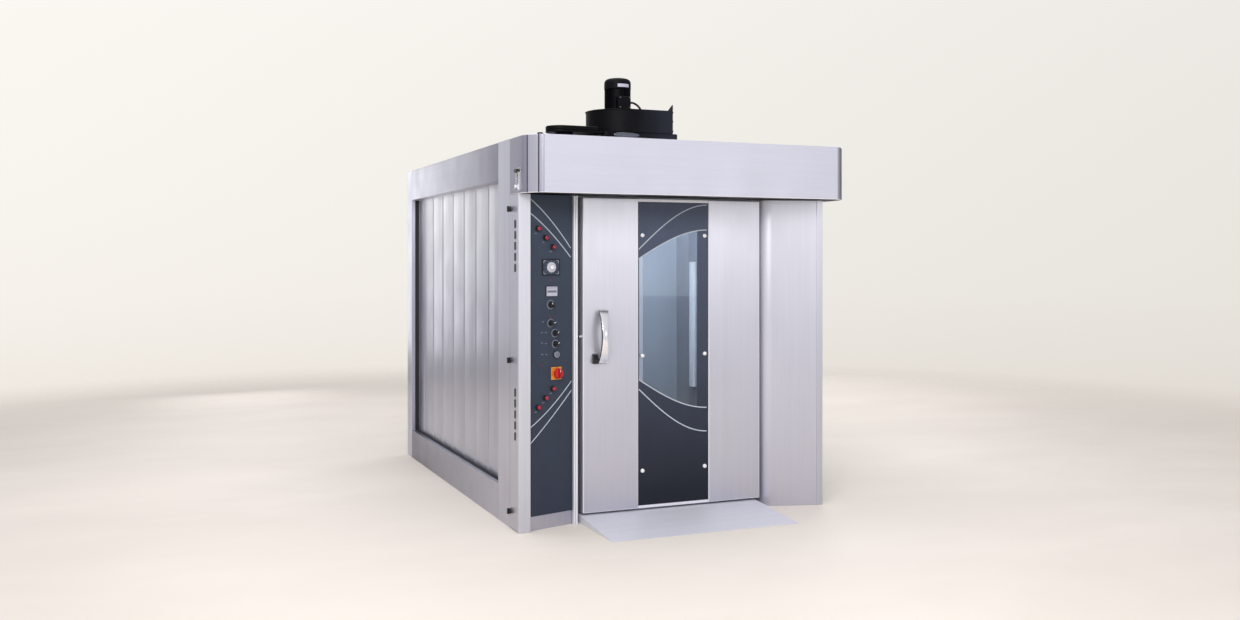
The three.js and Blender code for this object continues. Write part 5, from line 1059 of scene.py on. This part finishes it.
def handle():
    """A bowed strap that is narrow at its middle, on a pivot at its lower end."""
    steps, across = 48, 8
    shape = Shape()
    rings = []
    for t in (i / steps for i in range(steps + 1)):
        swell = math.sin(math.pi * t) ** 0.8
        bowed = HANDLE_BOW * swell
        right = HANDLE_RIGHT - 0.42 * bowed
        z = PIVOT_Z - 4 + t * (HANDLE_TALL - 4)
        y = PIVOT_Y - 6 - bowed
        strap = [row(HANDLE_LEFT + (right - HANDLE_LEFT) * w, y - 3.0 * (1 - (2 * w - 1) ** 2), z)
                 for w in (k / across for k in range(across + 1))]
        strap += [row(right, y + 6 + 4 * swell, z), row(HANDLE_LEFT, y + 9 + 15 * swell, z)]
        rings.append(shape.ring(strap))
    # the strap's sides and back take a dark copy of the chrome: painted shade
    shape.strip(rings, index=lambda ring, k: int(k >= across))
    for ring in (rings[0], rings[-1]):
        shape.face(ring)
    grip = {"body": "handle", "slot": "chrome"}
    shape.piece("handle_strap", [CHROME, CHROME_SHADED], replaces=["door_handle"], bevel=1.2, smooth=40, **grip)
    middle, half = (HANDLE_LEFT + HANDLE_RIGHT) / 2, (HANDLE_RIGHT - HANDLE_LEFT) / 2
    top = PIVOT_Z + HANDLE_TALL - 16
    shape = Shape().turned(rod(10, -half, half), row(middle, PIVOT_Y, PIVOT_Z), RIGHT)
    shape.turned(rod(6, 2 - half, half - 2), row(middle, PIVOT_Y + 2, top), RIGHT, 24)
    shape.piece("handle_eyes", CHROME, bevel=1.0, **grip)
    # the pivot block that carries the strap, and the rest for the strap's upper end
    outline = [(DOOR_FACE, PIVOT_Z - 14), (DOOR_FACE, PIVOT_Z + 44), (PIVOT_Y + 4, PIVOT_Z + 40)]
    outline += circle(PIVOT_Y + 1, PIVOT_Z + 4, 19, 14, math.pi * 0.62, math.pi * 0.8)
    carrier = [(DOOR_FACE, PIVOT_Z - 14), (DOOR_FACE, PIVOT_Z + 14), (PIVOT_Y + 12.5, PIVOT_Z + 8),
               (PIVOT_Y + 12.5, PIVOT_Z - 8)]
    rest = [(DOOR_FACE, top - 26), (DOOR_FACE, top - 2), (PIVOT_Y + 10, top - 6), (PIVOT_Y + 10, top - 22)]
    shape = Shape().prism(outline, HANDLE_LEFT - 36, HANDLE_LEFT - 2, "x")
    shape.prism(carrier, HANDLE_LEFT - 4, HANDLE_RIGHT - 6, "x")
    shape.prism(rest, HANDLE_LEFT + 16, HANDLE_RIGHT - 20, "x")
    shape.piece("handle_mounts", BLACK_PLASTIC, body="door", slot="black_plastic", bevel=3.0, segments=3)
    # the pin's cap, and the pale top of the pivot block, a painted highlight on its top
    lid = [(DOOR_FACE, PIVOT_Z + 44.2), (PIVOT_Y + 5, PIVOT_Z + 40.4), (PIVOT_Y + 5, PIVOT_Z + 43),
           (DOOR_FACE, PIVOT_Z + 47)]
    pin = row(HANDLE_LEFT - 36, PIVOT_Y, PIVOT_Z)
    shape = Shape().turned([(0, 0), (7, 0), (7, 3), (0, 4)], pin, LEFT, 20)
    shape.prism(lid, HANDLE_LEFT - 35, HANDLE_LEFT - 4, "x")
    shape.piece("handle_pin_cap", CHROME_DARK, body="door", slot="chrome", bevel=0.6)


handle()

# ---------------------------------------------------------------- roof blower
# the plinth's sides about the blower's axis, and the flat duct that leaves it to the left
PLINTH_LEFT, PLINTH_RIGHT, PLINTH_FRONT, PLINTH_BACK = -186.0, 326.0, -216.0, 226.0
DUCT_LONG, DUCT_RADIUS = 330.0, 90.0
SCROLL_LOW, SCROLL_HIGH, SCROLL_FRONT, MOUTH_X = 64.3, 206, -222.0, 274.0
FOOT = SCROLL_HIGH + 0.3
IN_BLACK = {"slot": "black_paint"}


def volute(steps=96):
    """The scroll's spiral over three quarters of a turn, and the mouth that it ends in."""
    shares = [i / steps for i in range(steps + 1)]
    spiral = [((165.0 + 57.0 * share) * math.cos(share * math.pi * 1.5),
               (165.0 + 57.0 * share) * math.sin(share * math.pi * 1.5)) for share in shares]
    return spiral, [(MOUTH_X, SCROLL_FRONT), (MOUTH_X, -62.0), (160.0, -62.0)]


def scroll():
    """The scroll, its rolled seams and its outlet flange with bolts round the mouth."""
    spiral, mouth = volute()
    Shape().prism(spiral + mouth, SCROLL_LOW, SCROLL_HIGH, place=on_blower).piece(
        "scroll_shell", BLACK, replaces=["blower_scroll"], bevel=2.0, smooth=24, **IN_BLACK)
    shape = Shape()
    for z in (67.0, 203.5):
        shape.tube([on_blower(x * 1.012, y * 1.012, z) for x, y in spiral], 2.4, 8)
    shape.piece("scroll_seams", BLACK, **IN_BLACK)
    y0, y1, low, hole = BLOWER_Y + SCROLL_FRONT, BLOWER_Y - 38.0, HEIGHT + SCROLL_LOW, 2500
    outline = [(y0, low), (y1, low), (y1, 2504), (y0 + 74, 2510), (y0, 2543.0)]
    opening = (y0 + 20, y1 - 28, low + 4, hole)
    filled("outlet_flange", outline, [rect(*opening)], BLOWER_X + 273, BLOWER_X + 279, "x", BLACK, bevel=1.0,
           **IN_BLACK)
    places = [(y0 + 10, z) for z in (2380, 2440, 2496)] + [(y1 - 12, z) for z in (2380, 2440, 2490)]
    points = [row(BLOWER_X + 279, y, z) for y, z in places + [(y0 + 16, 2522)]]
    bolts("flange_bolts", points, RIGHT, 6.0, DARK_STEEL)
    # a near-black plate inside the outlet's mouth: painted shade
    Shape().block(BLOWER_X + 255, BLOWER_X + 258, *opening).piece("outlet_depth", GAP_SHADE)


def base():
    """The plinth with its corners rounded, the duct with its round end, and what stands beside them."""
    r = 40.0
    corners = [(PLINTH_RIGHT, PLINTH_BACK), (PLINTH_LEFT, PLINTH_BACK), (PLINTH_LEFT, PLINTH_FRONT),
               (PLINTH_RIGHT, PLINTH_FRONT)]
    outline = []
    for quarter, (x, y) in enumerate(corners):
        middle = (x - math.copysign(r, x), y - math.copysign(r, y))
        outline += circle(*middle, r, 10, quarter * math.pi / 2, math.pi / 2)
    end_x, mid = PLINTH_LEFT - DUCT_LONG + DUCT_RADIUS, PLINTH_FRONT + DUCT_RADIUS
    duct = circle(end_x, mid, DUCT_RADIUS, 32, math.pi / 2, math.pi)

    def deck(right):
        return duct + [(right, PLINTH_FRONT), (right, PLINTH_FRONT + 2 * DUCT_RADIUS)]

    shape = Shape().prism(outline, 0.3, 64, place=on_blower).prism(deck(-187.0), 50, 62, place=on_blower)
    shape.turned([(0, 0.3), (60, 0.3), (60, 6), (54, 8), (54, 50), (0, 50)],
                 on_blower(end_x + DUCT_RADIUS / 4, mid, 0), UP, 40)
    shape.piece("blower_plinth", BLACK, replaces=["blower_base"], bevel=2.5, smooth=26, **IN_BLACK)
    Shape().prism(deck(-212.0), 62, 88, place=on_blower).piece(
        "duct_deck", BLACK, bevel=7.0, segments=4, smooth=26, **IN_BLACK)
    Shape().turned([(118, 60), (132, 60), (132, 66), (118, 66)], on_blower(0, 0, 0), UP, 48).piece(
        "inlet_ring", BLACK, **IN_BLACK)
    # oval boss pressed into the plinth's front, in a paler metallic grey that paints a sheen there, and a
    # capped post beside the duct
    shape = Shape()
    rings = [shape.ring([on_blower(x - 29, PLINTH_FRONT - rise, 45 + y * 17 / 86)
                         for x, y in circle(0, 0, 86 * share, 48)])
             for share, rise in ((1.0, -0.5), (0.97, 2.0), (0.85, 4.6), (0.6, 6.2), (0.3, 6.9))]
    shape.strip(rings).face(rings[-1])
    shape.piece("plinth_boss", PAINTED_SHEEN_GREY, **IN_BLACK)
    post = [(0, 0.3), (22, 0.3), (22, 4), (15, 6), (15, 38), (19, 40), (19, 46), (14, 49), (0, 50)]
    Shape().turned(post, row(196, 190, HEIGHT), UP, 28).piece("roof_post_cap", BLACK, **IN_BLACK)


def motor():
    """The motor with its flange, fins and cowl, its terminal box, and a blank pale patch on the cowl."""
    cowl_low, axis = FOOT + 214 * 0.68, on_blower(0, 0, 0)
    flange = [(0, 0), (98, 0), (98, 9), (94, 13), (80, 14), (78, 18), (78, 20)]
    cowl = [(84, 180), (82.6, 190), (77, 201), (66, 208.5), (48, 212.5), (24, 213.6), (0, 214)]
    fins = []
    count = 40
    for i in range(count):
        for phase, radius in ((0.0, 72.0), (0.35, 72.0), (0.42, 82.0), (0.58, 82.0), (0.65, 72.0)):
            t = 2 * math.pi * (i + phase) / count
            fins.append((radius * math.cos(t), radius * math.sin(t)))
    shape = Shape().turned([(r, FOOT + h) for r, h in flange], axis, UP, 48)
    shape.prism(fins, FOOT + 13, cowl_low, place=on_blower)
    profile = [(0, cowl_low - 2), (82, cowl_low - 2), (84, cowl_low)] + [(r, FOOT + h) for r, h in cowl]
    shape.turned(profile, axis, UP, 56)
    shape.piece("motor_body", BLACK, replaces=["blower_motor"], smooth=28, **IN_BLACK)
    Shape().block(-36, 46, -106, -48, FOOT + 12, FOOT + 92, on_blower).piece(
        "terminal_box", BLACK, bevel=5.0, segments=4, **IN_BLACK)
    Shape().block(-33, 43, -109.5, -105, FOOT + 16, FOOT + 88, on_blower).piece(
        "terminal_lid", BLACK, bevel=1.5, **IN_BLACK)
    points = [on_blower(x, -109.5, FOOT + z) for x in (-27, 37) for z in (22, 82)]
    bolts("lid_screws", points, FRONT, 3.2, CHROME_DARK, 20)
    shape = Shape()
    rows = [shape.ring([on_blower(x, y, FOOT + z) for z in (152, 172)])
            for x, y in circle(0, 0, 84.5, 12, math.radians(-112), math.radians(54))]
    shape.strip(rows, closed=False).piece("cowl_patch", PALE_GREY)


def conduit():
    """The short conduit from the terminal box to the scroll, and its two glands."""
    control = [(46.3, 56), (62, 58), (84, 52), (106, 38), (122, 20), (130, 1)]
    points = [on_blower(a, -78, SCROLL_HIGH + b) for a, b in control]
    spans = zip(points[:1] + points, points, points[1:], points[2:] + points[-1:])
    fine = [0.5 * (2 * p1 + (p2 - p0) * t + (2 * p0 - 5 * p1 + 4 * p2 - p3) * t * t
                   + (3 * p1 - p0 - 3 * p2 + p3) * t ** 3)
            for p0, p1, p2, p3 in spans for t in (k / 8 for k in range(8))]
    Shape().tube(fine + [points[-1]], 6.6, 16).piece(
        "conduit_hose", BLACK_PLASTIC, slot="black_plastic", replaces=["motor_conduit"])
    gland = [(0, 0), (11, 0), (11, 8), (9, 12), (8, 14), (0, 14)]
    shape = Shape().turned(gland, on_blower(130, -78, SCROLL_HIGH), UP, 6)
    shape.turned(gland, on_blower(46, -78, 262), RIGHT, 6)
    shape.piece("conduit_glands", CHROME_DARK, slot="black_plastic")


scroll()
base()
motor()
conduit()

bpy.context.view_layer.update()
